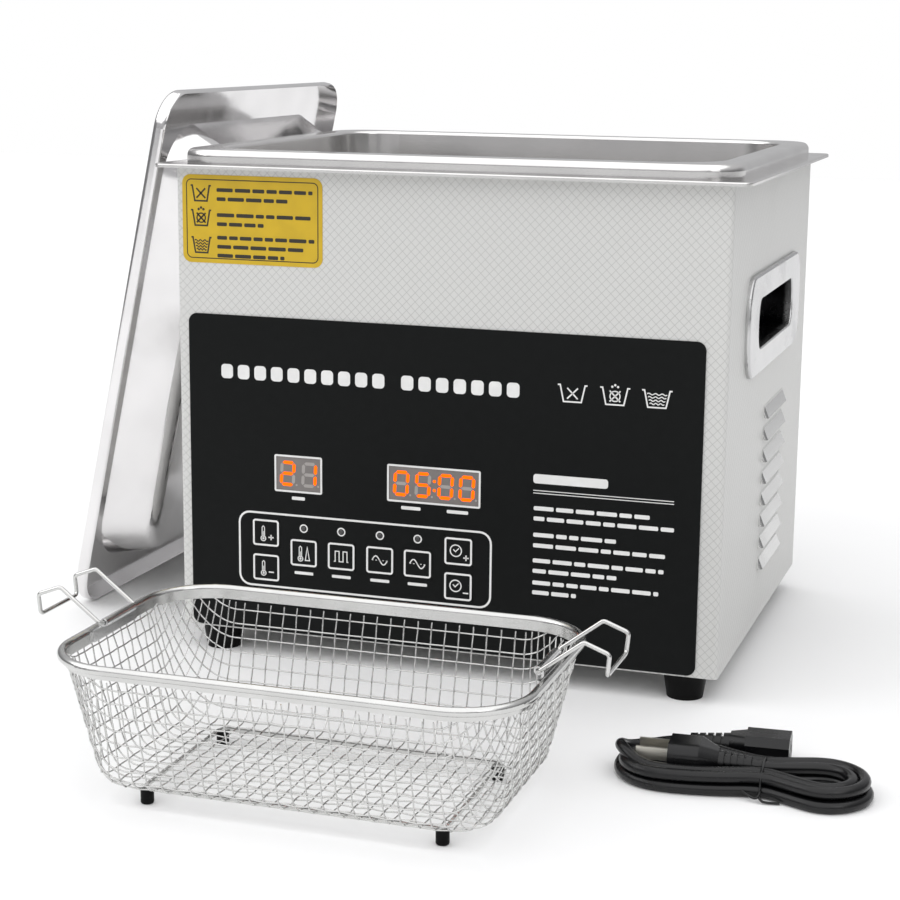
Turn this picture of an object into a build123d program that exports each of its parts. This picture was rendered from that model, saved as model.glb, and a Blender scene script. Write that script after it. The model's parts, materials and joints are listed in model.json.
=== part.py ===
from build123d import *
import os
from math import atan, cos, degrees, pi, radians, sin

# Bench ultrasonic cleaner of the 10 litre class, with its lid, basket and mains lead.
# Millimetres, +Z up, the control panel faces -Y. The origin is on the table under the
# middle of the housing. The lid leans on the left side of the tank rim, the basket
# stands in front of the housing and the coiled lead lies at its front right.

# ---------------------------------------------------------------- driving dimensions
WIDTH = 318.0           # housing along X
DEPTH = 264.0           # housing along Y
FLOOR_GAP = 15.0        # height of the feet
SHELL_TOP = 282.0       # top edge of the wrapped shell
SHEET = 1.0             # sheet steel of shell and tank
SHELL_CORNER = 3.0      # upright folds of the shell

RIM_TOP = 292.0
RIM_WIDTH, RIM_DEPTH = 320.0, 266.0        # raised bead
LIP_WIDTH, LIP_DEPTH = 338.0, 284.0        # flat lip under the bead
LIP_THICK = 2.0
LIP_CORNER = 6.0
BATH_WIDTH, BATH_DEPTH = 290.0, 236.0      # opening at the rim
BATH_DROP = 150.0
BATH_DRAFT = 3.0
BATH_CORNER = 30.0

PANEL_X, PANEL_Z = -2.5, 107.75
PANEL_WIDTH, PANEL_HEIGHT, PANEL_THICK = 299.0, 183.5, 0.8
PANEL_CORNER = 5.0
KEY_WIDTH, KEY_HEIGHT, KEY_GAP = 17.1, 16.4, 0.2
KEY_PROUD = 0.3
KEY_STEM_END = -6.4     # behind the front wall's outer face
KEYS = {
    "key_temperature_up": (-105.2, 74.4),
    "key_temperature_down": (-105.2, 53.8),
    "key_heating": (-81.8, 64.4),
    "key_degas": (-58.8, 64.4),
    "key_sweep": (-35.4, 64.4),
    "key_turbo": (-12.8, 64.4),
    "key_time_up": (11.3, 73.8),
    "key_time_down": (11.3, 53.5),
}
LED_PLACES = [(-81.8, 78.8), (-58.8, 78.8), (-35.4, 78.8), (-12.8, 78.8)]
LED_DIAMETER, LED_HOLE = 3.0, 3.2
TEMPERATURE_DISPLAY = (-85.0, 110.3, 27.0, 19.4)    # x, z, width, height
TIME_DISPLAY = (-3.7, 110.0, 52.8, 19.2)
DISPLAY_GAP = 0.2
KEY_WINDOW = (-47.0, 64.0, 140.0, 43.0)
BOARD_FACE = -11.0      # front of the control board, behind the front wall's face
BOARD_THICK = 1.6
BOARD_X, BOARD_Z, BOARD_WIDTH, BOARD_HEIGHT = -47.0, 82.0, 162.0, 88.0

HANDLE_Z = 199.5
HANDLE_PLATE_LENGTH, HANDLE_PLATE_HEIGHT, HANDLE_PLATE_THICK = 160.0, 57.0, 3.0
HANDLE_BOW = 7.0        # how far the plate's ends bulge
HANDLE_CORNER = 15.0
GRIP_LENGTH, GRIP_HEIGHT, GRIP_BOW = 110.0, 28.0, 4.0
GRIP_DEPTH = 17.0       # from the plate's face to the floor of the cup

LOUVRE_COUNT, LOUVRE_PITCH = 8, 13.0
LOUVRE_Y, LOUVRE_FIRST_Z = 19.0, 51.5
LOUVRE_LENGTH, LOUVRE_RISE, LOUVRE_TALL = 68.0, 3.2, 7.8
LOUVRE_SHEET = 0.8

FOOT_X, FOOT_Y = 139.0, 118.0
FOOT_TOP_RADIUS, FOOT_BOTTOM_RADIUS = 12.5, 10.0

TRANSDUCER_X, TRANSDUCER_Y = 75.0, 55.0
HORN_TOP_RADIUS, HORN_BOTTOM_RADIUS, HORN_HEIGHT = 29.0, 22.5, 28.0
PIEZO_RADIUS, PIEZO_THICK = 22.5, 5.0
BACK_MASS_HEIGHT = 22.0
BOLT_RADIUS = 5.0

DRAIN_Y, DRAIN_Z = 80.0, 118.0
DRAIN_BORE, DRAIN_TUBE = 6.0, 9.0          # radii
VALVE_START, VALVE_END = 150.0, 188.0
VALVE_RADIUS = 15.0
BALL_RADIUS, BALL_CHAMBER = 11.5, 11.9
STEM_RADIUS, STEM_HOLE = 4.0, 4.2
NOZZLE_RADIUS, NOZZLE_BORE, NOZZLE_LENGTH = 6.5, 4.5, 24.0
LEVER_LENGTH = 62.0

FAN_X, FAN_Z = 90.0, 70.0
FAN_SIZE, FAN_THICK, FAN_BORE = 80.0, 25.0, 38.0
FAN_SCREW_PITCH = 71.5
INLET_X, INLET_Z = -110.0, 60.0
ROCKER_X, ROCKER_Z = -110.0, 100.0
ROCKER_PIVOT_Y = DEPTH / 2 - 0.5
ROCKER_TILT = 8.0
FUSE_X, FUSE_Z = -70.0, 60.0

LID_LEAN = 12.0         # degrees from upright
LID_FOOT_X, LID_Y = -262.0, 56.0
LID_LENGTH, LID_WIDTH = 328.0, 276.0
LID_SKIRT, LID_SHEET = 9.0, 1.0
DISH_LENGTH, DISH_WIDTH, DISH_DROP, DISH_DRAFT = 284.0, 230.0, 32.0, 22.0
LID_STRAP_LENGTH, LID_STRAP_WIDTH, LID_STRAP_THICK = 90.0, 18.0, 2.0

BASKET_X, BASKET_Y = 6.0, -319.0
BASKET_LENGTH, BASKET_WIDTH, BASKET_CORNER = 232.0, 150.0, 36.0
RIM_WIRE = 4.4          # diameter of the basket's rim
BASKET_RIM_Z = 73.5
BAND_DROP, BAND_SHEET = 4.8, 0.9
TRAY_FLOOR_Z, TRAY_DRAFT, TRAY_SHEET = 8.6, 14.0, 1.0
SUPPORT_LENGTH, SUPPORT_WIDTH, SUPPORT_WIRE = 150.0, 88.0, 1.6
CAP_RADIUS, CAP_HEIGHT = 3.2, 7.0
PIVOT_OUT, PIVOT_Z = 108.9, 77.0           # handle hinge, from the basket's middle
HANDLE_WIRE = 2.0
HANDLE_HALF_SPAN = 18.0
HOOK_OUTLINE = [(0, 0), (21.5, 16.5), (33.5, 12.0), (32.5, 2.0)]    # out and up from the hinge

LEAD_X, LEAD_Y, LEAD_TURN = 196.0, -246.0, 4.0
CORD_DIAMETER = 6.0
HANK_HEIGHT = 13.0
PLUG_Z, CONNECTOR_Z = 10.0, 8.0
PLUG_V, CONNECTOR_V = 5.0, 36.5            # across the hank
TIE_U = 8.0

os.makedirs("parts", exist_ok=True)


def save(piece, name):
    """Label a finished sub-part and write it as one STEP file."""
    piece.part.label = name
    export_step(piece.part, f"parts/{name}.step")


front_wall = Plane(origin=(0, -DEPTH / 2, 0), x_dir=(1, 0, 0), z_dir=(0, -1, 0))
back_wall = Plane(origin=(0, DEPTH / 2, 0), x_dir=(-1, 0, 0), z_dir=(0, 1, 0))


def side_wall(side, y=0.0, z=0.0):
    """Plane on a side wall's outer face: local x runs along Y, local y is up, normal outward."""
    return Plane(origin=(side * WIDTH / 2, y, z), x_dir=(0, side, 0), z_dir=(side, 0, 0))


def bowed_plate(length, height, bow, corner):
    """Face of a plate with straight long sides and outward bowed ends, around the origin."""
    half, rise = length / 2, height / 2
    with BuildSketch() as plate:
        with BuildLine():
            Line((-half, rise), (half, rise))
            ThreePointArc((half, rise), (half + bow, 0), (half, -rise))
            Line((half, -rise), (-half, -rise))
            ThreePointArc((-half, -rise), (-half - bow, 0), (-half, rise))
        make_face()
        fillet(plate.vertices(), corner)
    return plate.sketch


def wire_loop(points, diameter, bend):
    """Closed loop of round wire through the points, with every corner bent to the same radius."""
    with BuildPart() as loop:
        with BuildLine() as route:
            FilletPolyline(*points, radius=bend, close=True)
        with BuildSketch(Plane(origin=route.line @ 0, z_dir=route.line % 0)):
            Circle(diameter / 2)
        sweep()
    return loop


# ---------------------------------------------------------------- housing shell
louvre_heights = [LOUVRE_FIRST_Z + i * LOUVRE_PITCH for i in range(LOUVRE_COUNT)]
louvre_planes = [
    Plane(origin=(side * WIDTH / 2, LOUVRE_Y, z), x_dir=(side, 0, 0), z_dir=(0, -side, 0))
    for side in (1, -1)
    for z in louvre_heights
]
handle_planes = [side_wall(side, 0, HANDLE_Z) for side in (1, -1)]
slope = LOUVRE_RISE / LOUVRE_TALL
hood_top = LOUVRE_TALL / 2
hood_inner_top = hood_top - 2.1

with BuildPart() as housing_shell:
    with BuildSketch(Plane.XY.offset(FLOOR_GAP)):
        RectangleRounded(WIDTH, DEPTH, SHELL_CORNER)
        RectangleRounded(WIDTH - 2 * SHEET, DEPTH - 2 * SHEET, SHELL_CORNER - SHEET, mode=Mode.SUBTRACT)
    extrude(amount=SHELL_TOP - FLOOR_GAP)
    with BuildSketch(*louvre_planes):
        with BuildLine():
            Polyline((-0.5, hood_top), (0, hood_top), (LOUVRE_RISE, -hood_top), (-0.5, -hood_top), close=True)
        make_face()
    extrude(amount=LOUVRE_LENGTH / 2, both=True)
    hood_ends = housing_shell.edges().filter_by(
        lambda e: abs(abs(e.center().Y - LOUVRE_Y) - LOUVRE_LENGTH / 2) < 0.1
        and abs(e.center().X) > WIDTH / 2 + 0.5
        and e.length > LOUVRE_TALL
    )
    fillet(hood_ends, 2.4)
    with BuildSketch(*louvre_planes):
        with BuildLine():
            Polyline(
                (-2 * SHEET, hood_inner_top),
                (0, hood_inner_top),
                ((hood_inner_top + hood_top + 0.2) * slope, -hood_top - 0.2),
                (-2 * SHEET, -hood_top - 0.2),
                close=True,
            )
        make_face()
    extrude(amount=LOUVRE_LENGTH / 2 - LOUVRE_SHEET - 0.8, both=True, mode=Mode.SUBTRACT)
    # grips in both side walls
    with BuildSketch(*handle_planes):
        add(bowed_plate(GRIP_LENGTH + 8, GRIP_HEIGHT + 8, GRIP_BOW, 8))
    extrude(amount=-2 * SHEET, mode=Mode.SUBTRACT)
    # windows behind the control panel
    with BuildSketch(front_wall):
        with Locations((KEY_WINDOW[0], KEY_WINDOW[1])):
            RectangleRounded(KEY_WINDOW[2], KEY_WINDOW[3], 3)
        for x, z, width, height in (TEMPERATURE_DISPLAY, TIME_DISPLAY):
            with Locations((x, z)):
                Rectangle(width + 3, height + 3)
    extrude(amount=-2 * SHEET, mode=Mode.SUBTRACT)
    # rear openings: fan, inlet, switch, fuse, drain
    with BuildSketch(back_wall):
        with Locations((-FAN_X, FAN_Z)):
            Circle(FAN_BORE)
            with GridLocations(FAN_SCREW_PITCH, FAN_SCREW_PITCH, 2, 2):
                Circle(2.1)
        with Locations((-INLET_X, INLET_Z)):
            Rectangle(27.4, 20)
            with GridLocations(40, 0, 2, 1):
                Circle(1.6)
        with Locations((-ROCKER_X, ROCKER_Z)):
            Rectangle(13, 19)
        with Locations((-FUSE_X, FUSE_Z)):
            Circle(6.1)
        with Locations((0, DRAIN_Z)):
            Circle(DRAIN_TUBE)
    extrude(amount=-2 * SHEET, mode=Mode.SUBTRACT)
save(housing_shell, "housing_shell")

# ---------------------------------------------------------------- base plate, feet and screws
BASE_THICK = 1.2
with BuildPart() as base_plate:
    with BuildSketch(Plane.XY.offset(FLOOR_GAP)):
        RectangleRounded(WIDTH - 2 * SHEET, DEPTH - 2 * SHEET, SHELL_CORNER - SHEET)
    extrude(amount=12)
    with BuildSketch(Plane.XY.offset(FLOOR_GAP + BASE_THICK)):
        Rectangle(WIDTH - 2 * SHEET - 2 * BASE_THICK, DEPTH - 2 * SHEET - 2 * BASE_THICK)
    extrude(amount=12, mode=Mode.SUBTRACT)
    with BuildSketch(Plane.XY.offset(FLOOR_GAP)):
        with GridLocations(18, 60, 7, 2):
            SlotOverall(40, 4, rotation=90)
        with GridLocations(2 * FOOT_X, 2 * FOOT_Y, 2, 2):
            Circle(2.1)
    extrude(amount=BASE_THICK, mode=Mode.SUBTRACT)
save(base_plate, "base_plate")

foot_taper = degrees(atan((FOOT_TOP_RADIUS - FOOT_BOTTOM_RADIUS) / FLOOR_GAP))
with BuildPart() as rubber_feet:
    with BuildSketch(Plane(origin=(0, 0, FLOOR_GAP), z_dir=(0, 0, -1))):
        with GridLocations(2 * FOOT_X, 2 * FOOT_Y, 2, 2):
            Circle(FOOT_TOP_RADIUS)
    extrude(amount=FLOOR_GAP, taper=foot_taper)
    with BuildSketch(Plane.XY):
        with GridLocations(2 * FOOT_X, 2 * FOOT_Y, 2, 2):
            Circle(4.0)
    extrude(amount=6, mode=Mode.SUBTRACT)
    with BuildSketch(Plane.XY):
        with GridLocations(2 * FOOT_X, 2 * FOOT_Y, 2, 2):
            Circle(2.1)
    extrude(amount=FLOOR_GAP, mode=Mode.SUBTRACT)
save(rubber_feet, "rubber_feet")

with BuildPart() as foot_screws:
    with BuildSketch(Plane.XY.offset(3)):
        with GridLocations(2 * FOOT_X, 2 * FOOT_Y, 2, 2):
            Circle(3.8)
    extrude(amount=3)
    with BuildSketch(Plane.XY.offset(6)):
        with GridLocations(2 * FOOT_X, 2 * FOOT_Y, 2, 2):
            Circle(2.0)
    extrude(amount=FLOOR_GAP + BASE_THICK + 5 - 6)
    with BuildSketch(Plane.XY.offset(FLOOR_GAP + BASE_THICK)):
        with GridLocations(2 * FOOT_X, 2 * FOOT_Y, 2, 2):
            RegularPolygon(4.0, 6)
    extrude(amount=3.2)
save(foot_screws, "foot_screws")

# ---------------------------------------------------------------- tank with its rolled rim
bath_top = Plane(origin=(0, 0, RIM_TOP), x_dir=(1, 0, 0), z_dir=(0, 0, -1))


def draft_pan(plane, length, width, corner, drop, draft, bottom_radius):
    """Solid of a rounded, drafted pan with rounded bottom edges, hanging from a plane along its normal."""
    with BuildPart() as pan:
        with BuildSketch(plane):
            RectangleRounded(length, width, corner)
        extrude(amount=drop, taper=draft)
        bottom = pan.faces().sort_by(Axis(plane.origin, plane.z_dir))[-1]
        fillet(bottom.edges(), bottom_radius)
    return pan.part


with BuildPart() as tank:
    with BuildSketch(Plane.XY.offset(SHELL_TOP)):
        RectangleRounded(LIP_WIDTH, LIP_DEPTH, LIP_CORNER)
    extrude(amount=LIP_THICK)
    fillet(tank.edges().group_by(Axis.Z)[-1], 0.8)
    with BuildSketch(Plane.XY.offset(SHELL_TOP + LIP_THICK)):
        RectangleRounded(RIM_WIDTH, RIM_DEPTH, 24)
    extrude(amount=RIM_TOP - SHELL_TOP - LIP_THICK)
    fillet(tank.edges().group_by(Axis.Z)[-1], 4)
    with BuildSketch(Plane.XY.offset(SHELL_TOP)):
        RectangleRounded(RIM_WIDTH - 4, RIM_DEPTH - 4, 22)
    extrude(amount=RIM_TOP - SHELL_TOP - 1.4, mode=Mode.SUBTRACT)
    add(draft_pan(
        bath_top, BATH_WIDTH + 2 * SHEET, BATH_DEPTH + 2 * SHEET, BATH_CORNER + SHEET,
        BATH_DROP + SHEET, BATH_DRAFT, 15,
    ))
    add(
        draft_pan(bath_top, BATH_WIDTH, BATH_DEPTH, BATH_CORNER, BATH_DROP, BATH_DRAFT, 14),
        mode=Mode.SUBTRACT,
    )
    opening = tank.edges().filter_by(
        lambda e: abs(e.bounding_box().min.Z - RIM_TOP) < 0.01
        and abs(e.center().X) <= BATH_WIDTH / 2 + 0.1
        and abs(e.center().Y) <= BATH_DEPTH / 2 + 0.1
        and not (abs(e.center().X) < 1 and abs(e.center().Y) < 1)
    )
    fillet(opening, 2.0)
    with BuildSketch(Plane.XY.offset(RIM_TOP - BATH_DROP - 2 * SHEET)):
        with Locations((0, DRAIN_Y)):
            Circle(DRAIN_TUBE)
    extrude(amount=3 * SHEET, mode=Mode.SUBTRACT)
save(tank, "tank")
TANK_UNDER = RIM_TOP - BATH_DROP - SHEET

# ---------------------------------------------------------------- side handle cups
for side, name in ((1, "handle_cup_right"), (-1, "handle_cup_left")):
    plate_plane = side_wall(side, 0, HANDLE_Z)
    with BuildPart() as cup:
        with BuildSketch(plate_plane):
            add(bowed_plate(HANDLE_PLATE_LENGTH, HANDLE_PLATE_HEIGHT, HANDLE_BOW, HANDLE_CORNER))
        extrude(amount=HANDLE_PLATE_THICK)
        face_edges = cup.faces().sort_by(Axis.X)[-1 if side > 0 else 0].edges()
        fillet(face_edges, 1.6)
        with BuildSketch(plate_plane):
            add(bowed_plate(GRIP_LENGTH + 4, GRIP_HEIGHT + 4, GRIP_BOW, 8))
        extrude(amount=-(GRIP_DEPTH - HANDLE_PLATE_THICK + 1.0))
        with BuildSketch(plate_plane.offset(HANDLE_PLATE_THICK)):
            add(bowed_plate(GRIP_LENGTH, GRIP_HEIGHT, GRIP_BOW, 7))
        extrude(amount=-GRIP_DEPTH, mode=Mode.SUBTRACT)
        mouth = cup.faces().sort_by(Axis.X)[-1 if side > 0 else 0].inner_wires()[0].edges()
        fillet(mouth, 1.0)
    save(cup, name)

# ---------------------------------------------------------------- control panel, keys and displays
with BuildPart() as control_panel:
    with BuildSketch(front_wall):
        with Locations((PANEL_X, PANEL_Z)):
            RectangleRounded(PANEL_WIDTH, PANEL_HEIGHT, PANEL_CORNER)
        for x, z in KEYS.values():
            with Locations((x, z)):
                RectangleRounded(KEY_WIDTH + 2 * KEY_GAP, KEY_HEIGHT + 2 * KEY_GAP, 1.4, mode=Mode.SUBTRACT)
        for x, z, width, height in (TEMPERATURE_DISPLAY, TIME_DISPLAY):
            with Locations((x, z)):
                Rectangle(width + 2 * DISPLAY_GAP, height + 2 * DISPLAY_GAP, mode=Mode.SUBTRACT)
        with Locations(*LED_PLACES):
            Circle(LED_HOLE / 2, mode=Mode.SUBTRACT)
    extrude(amount=PANEL_THICK)
save(control_panel, "control_panel")

for name, (x, z) in KEYS.items():
    with BuildPart() as key_cap:
        with BuildSketch(front_wall.offset(-0.9)):
            with Locations((x, z)):
                RectangleRounded(KEY_WIDTH, KEY_HEIGHT, 1.2)
        extrude(amount=0.9 + PANEL_THICK + KEY_PROUD)
        with BuildSketch(front_wall.offset(-0.9)):
            with Locations((x, z)):
                RectangleRounded(KEY_WIDTH + 1.9, KEY_HEIGHT + 1.9, 1.6)
        extrude(amount=0.8)
        with BuildSketch(front_wall.offset(KEY_STEM_END)):
            with Locations((x, z)):
                Circle(3)
        extrude(amount=-KEY_STEM_END - 0.9)
        fillet(key_cap.faces().sort_by(Axis.Y)[0].edges(), 0.2)
    save(key_cap, name)

for name, (x, z, width, height) in (
    ("display_temperature", TEMPERATURE_DISPLAY),
    ("display_time", TIME_DISPLAY),
):
    with BuildPart() as display:
        with BuildSketch(front_wall.offset(BOARD_FACE)):
            with Locations((x, z)):
                Rectangle(width, height)
        extrude(amount=PANEL_THICK - BOARD_FACE - 0.3)
    save(display, name)

with BuildPart() as indicator_lights:
    with BuildSketch(front_wall.offset(BOARD_FACE)):
        with Locations(*LED_PLACES):
            Circle(LED_DIAMETER / 2)
    extrude(amount=PANEL_THICK - BOARD_FACE + 0.6)
    fillet(indicator_lights.edges().group_by(Axis.Y)[0], 0.9)
save(indicator_lights, "indicator_lights")

STANDOFF_INSET = 4.0
with BuildPart() as control_board:
    with BuildSketch(front_wall.offset(BOARD_FACE - BOARD_THICK)):
        with Locations((BOARD_X, BOARD_Z)):
            RectangleRounded(BOARD_WIDTH, BOARD_HEIGHT, 2)
    extrude(amount=BOARD_THICK)
    with BuildSketch(front_wall.offset(BOARD_FACE - BOARD_THICK - 5)):
        with Locations((BOARD_X - 50, BOARD_Z), (BOARD_X + 30, BOARD_Z + 10)):
            Rectangle(18, 12)
        with Locations((BOARD_X, BOARD_Z - 34)):
            Rectangle(40, 7)
    extrude(amount=5)
save(control_board, "control_board")

with BuildPart() as key_switches:
    with BuildSketch(front_wall.offset(BOARD_FACE)):
        with Locations(*KEYS.values()):
            Rectangle(10, 10)
    extrude(amount=4)
save(key_switches, "key_switches")

# ---------------------------------------------------------------- transducers, heater and sensor
under_tank = Plane(origin=(0, 0, TANK_UNDER), x_dir=(1, 0, 0), z_dir=(0, 0, -1))
ELECTRODE = 0.4
STACK_STEP = PIEZO_THICK + ELECTRODE
BACK_MASS_LEVEL = HORN_HEIGHT + 2 * STACK_STEP + ELECTRODE
with BuildPart() as transducer_horns:
    with BuildSketch(under_tank):
        with GridLocations(2 * TRANSDUCER_X, 2 * TRANSDUCER_Y, 2, 2):
            Circle(HORN_TOP_RADIUS)
    extrude(amount=HORN_HEIGHT, taper=degrees(atan((HORN_TOP_RADIUS - HORN_BOTTOM_RADIUS) / HORN_HEIGHT)))
    with BuildSketch(under_tank.offset(HORN_HEIGHT)):
        with GridLocations(2 * TRANSDUCER_X, 2 * TRANSDUCER_Y, 2, 2):
            Circle(BOLT_RADIUS)
    extrude(amount=-16, mode=Mode.SUBTRACT)
save(transducer_horns, "transducer_horns")

with BuildPart() as transducer_piezos:
    for ring in range(2):
        with BuildSketch(under_tank.offset(HORN_HEIGHT + ELECTRODE + ring * STACK_STEP)):
            with GridLocations(2 * TRANSDUCER_X, 2 * TRANSDUCER_Y, 2, 2):
                Circle(PIEZO_RADIUS)
                Circle(BOLT_RADIUS + 1, mode=Mode.SUBTRACT)
        extrude(amount=PIEZO_THICK)
save(transducer_piezos, "transducer_piezos")

with BuildPart() as transducer_electrodes:
    for sheet in range(3):
        with BuildSketch(under_tank.offset(HORN_HEIGHT + sheet * STACK_STEP)):
            with GridLocations(2 * TRANSDUCER_X, 2 * TRANSDUCER_Y, 2, 2):
                Circle(PIEZO_RADIUS)
                with Locations((PIEZO_RADIUS + 2, 0)):
                    Rectangle(10, 5)
                Circle(BOLT_RADIUS + 1, mode=Mode.SUBTRACT)
        extrude(amount=ELECTRODE)
save(transducer_electrodes, "transducer_electrodes")

with BuildPart() as transducer_back_masses:
    with BuildSketch(under_tank.offset(BACK_MASS_LEVEL)):
        with GridLocations(2 * TRANSDUCER_X, 2 * TRANSDUCER_Y, 2, 2):
            Circle(PIEZO_RADIUS)
            Circle(BOLT_RADIUS, mode=Mode.SUBTRACT)
    extrude(amount=BACK_MASS_HEIGHT)
save(transducer_back_masses, "transducer_back_masses")

with BuildPart() as transducer_bolts:
    with BuildSketch(under_tank.offset(BACK_MASS_LEVEL + BACK_MASS_HEIGHT)):
        with GridLocations(2 * TRANSDUCER_X, 2 * TRANSDUCER_Y, 2, 2):
            Circle(8)
    extrude(amount=6)
    with BuildSketch(under_tank.offset(BACK_MASS_LEVEL + BACK_MASS_HEIGHT + 3)):
        with GridLocations(2 * TRANSDUCER_X, 2 * TRANSDUCER_Y, 2, 2):
            RegularPolygon(4.5, 6)
    extrude(amount=3, mode=Mode.SUBTRACT)
    with BuildSketch(under_tank.offset(HORN_HEIGHT - 12)):
        with GridLocations(2 * TRANSDUCER_X, 2 * TRANSDUCER_Y, 2, 2):
            Circle(BOLT_RADIUS)
    extrude(amount=BACK_MASS_LEVEL + BACK_MASS_HEIGHT - HORN_HEIGHT + 12)
save(transducer_bolts, "transducer_bolts")

with BuildPart() as tank_heater:
    with BuildSketch(under_tank):
        with Locations((0, 25)):
            RectangleRounded(80, 130, 6)
    extrude(amount=2.5)
save(tank_heater, "tank_heater")

with BuildPart() as temperature_sensor:
    with BuildSketch(under_tank):
        with Locations((0, -58)):
            RectangleRounded(12, 10, 2)
    extrude(amount=6)
save(temperature_sensor, "temperature_sensor")

# ---------------------------------------------------------------- ultrasonic generator
GENERATOR_X, GENERATOR_Y, GENERATOR_Z = -70.0, 32.0, 28.0
GENERATOR_LENGTH, GENERATOR_WIDTH = 150.0, 110.0
GENERATOR_TOP = GENERATOR_Z + BOARD_THICK
with BuildPart() as board_standoffs:
    with BuildSketch(Plane.XY.offset(FLOOR_GAP + BASE_THICK)):
        with Locations((GENERATOR_X, GENERATOR_Y)):
            with GridLocations(GENERATOR_LENGTH - 12, GENERATOR_WIDTH - 12, 2, 2):
                RegularPolygon(4, 6)
    extrude(amount=GENERATOR_Z - FLOOR_GAP - BASE_THICK)
    with BuildSketch(front_wall.offset(-SHEET)):
        with Locations((BOARD_X, BOARD_Z)):
            with GridLocations(BOARD_WIDTH - 2 * STANDOFF_INSET, BOARD_HEIGHT - 2 * STANDOFF_INSET, 2, 2):
                Circle(3)
    extrude(amount=BOARD_FACE + SHEET)
save(board_standoffs, "board_standoffs")

with BuildPart() as generator_board:
    with BuildSketch(Plane.XY.offset(GENERATOR_Z)):
        with Locations((GENERATOR_X, GENERATOR_Y)):
            RectangleRounded(GENERATOR_LENGTH, GENERATOR_WIDTH, 3)
    extrude(amount=BOARD_THICK)
save(generator_board, "generator_board")

with BuildPart() as heat_sink:
    with BuildSketch(Plane.XY.offset(GENERATOR_TOP)):
        with Locations((GENERATOR_X, GENERATOR_Y + 38)):
            Rectangle(120, 24)
    extrude(amount=4)
    with BuildSketch(Plane.XY.offset(GENERATOR_TOP + 4)):
        with Locations((GENERATOR_X, GENERATOR_Y + 38)):
            with GridLocations(0, 5.5, 1, 5):
                Rectangle(120, 1.6)
    extrude(amount=28)
save(heat_sink, "heat_sink")

with BuildPart() as transformer:
    with BuildSketch(Plane.XY.offset(GENERATOR_TOP)):
        with Locations((GENERATOR_X + 42, GENERATOR_Y - 12)):
            Rectangle(44, 36)
    extrude(amount=34)
    with BuildSketch(Plane.XY.offset(GENERATOR_TOP + 7)):
        with Locations((GENERATOR_X + 42, GENERATOR_Y - 12)):
            RectangleRounded(30, 50, 6)
    extrude(amount=20)
save(transformer, "transformer")

with BuildPart() as capacitors:
    with BuildSketch(Plane.XY.offset(GENERATOR_TOP)):
        with Locations((GENERATOR_X - 10, GENERATOR_Y - 20)):
            with GridLocations(26, 0, 2, 1):
                Circle(11)
    extrude(amount=35)
    with BuildSketch(Plane.XY.offset(GENERATOR_TOP)):
        with Locations((GENERATOR_X - 55, GENERATOR_Y - 12)):
            with GridLocations(0, 14, 1, 4):
                Circle(5)
    extrude(amount=18)
save(capacitors, "capacitors")

# ---------------------------------------------------------------- fan
fan_plane = Plane(origin=(FAN_X, DEPTH / 2 - SHEET, FAN_Z), x_dir=(-1, 0, 0), z_dir=(0, 1, 0))
with BuildPart() as fan_frame:
    with BuildSketch(fan_plane):
        RectangleRounded(FAN_SIZE, FAN_SIZE, 4)
        Circle(FAN_BORE, mode=Mode.SUBTRACT)
        with GridLocations(FAN_SCREW_PITCH, FAN_SCREW_PITCH, 2, 2):
            Circle(2, mode=Mode.SUBTRACT)
    extrude(amount=-FAN_THICK)
    with BuildSketch(fan_plane.offset(-FAN_THICK)):
        Circle(17)
        with PolarLocations(FAN_BORE - 11, 3):
            Rectangle(24, 5)
        Circle(1.7, mode=Mode.SUBTRACT)
    extrude(amount=3)
save(fan_frame, "fan_frame")

ROTOR_START = 3.6 - FAN_THICK
with BuildPart() as fan_rotor:
    with BuildSketch(fan_plane.offset(ROTOR_START)):
        Circle(16.5)
    extrude(amount=16)
    with BuildSketch(fan_plane.offset(-FAN_THICK)):
        Circle(1.5)
    extrude(amount=5)
    for blade in range(7):
        turn = 2 * pi * blade / 7
        out = Vector(cos(turn), 0, sin(turn))
        along = Vector(-sin(turn), 0, cos(turn))
        centre = fan_plane.offset(ROTOR_START + 8).origin + out * 26
        with BuildSketch(Plane(origin=centre, x_dir=along, z_dir=out)):
            Rectangle(20, 1.4, rotation=40)
        extrude(amount=10.5, both=True)
save(fan_rotor, "fan_rotor")

with BuildPart() as fan_guard:
    guard_plane = Plane(origin=(FAN_X, DEPTH / 2, FAN_Z), x_dir=(-1, 0, 0), z_dir=(0, 1, 0))
    with BuildSketch(guard_plane.offset(1.5)):
        for radius in (10, 18, 26, 34, 40):
            Circle(radius + 0.8)
            Circle(radius - 0.8, mode=Mode.SUBTRACT)
    extrude(amount=1.6)
    with BuildSketch(guard_plane):
        with GridLocations(FAN_SCREW_PITCH, FAN_SCREW_PITCH, 2, 2):
            Circle(4)
            Circle(2, mode=Mode.SUBTRACT)
    extrude(amount=1.5)
    with BuildSketch(guard_plane):
        with PolarLocations(29, 4, start_angle=45):
            Rectangle(42, 1.6)
        with GridLocations(FAN_SCREW_PITCH, FAN_SCREW_PITCH, 2, 2):
            Circle(3.9, mode=Mode.SUBTRACT)
    extrude(amount=1.5)
save(fan_guard, "fan_guard")

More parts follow.
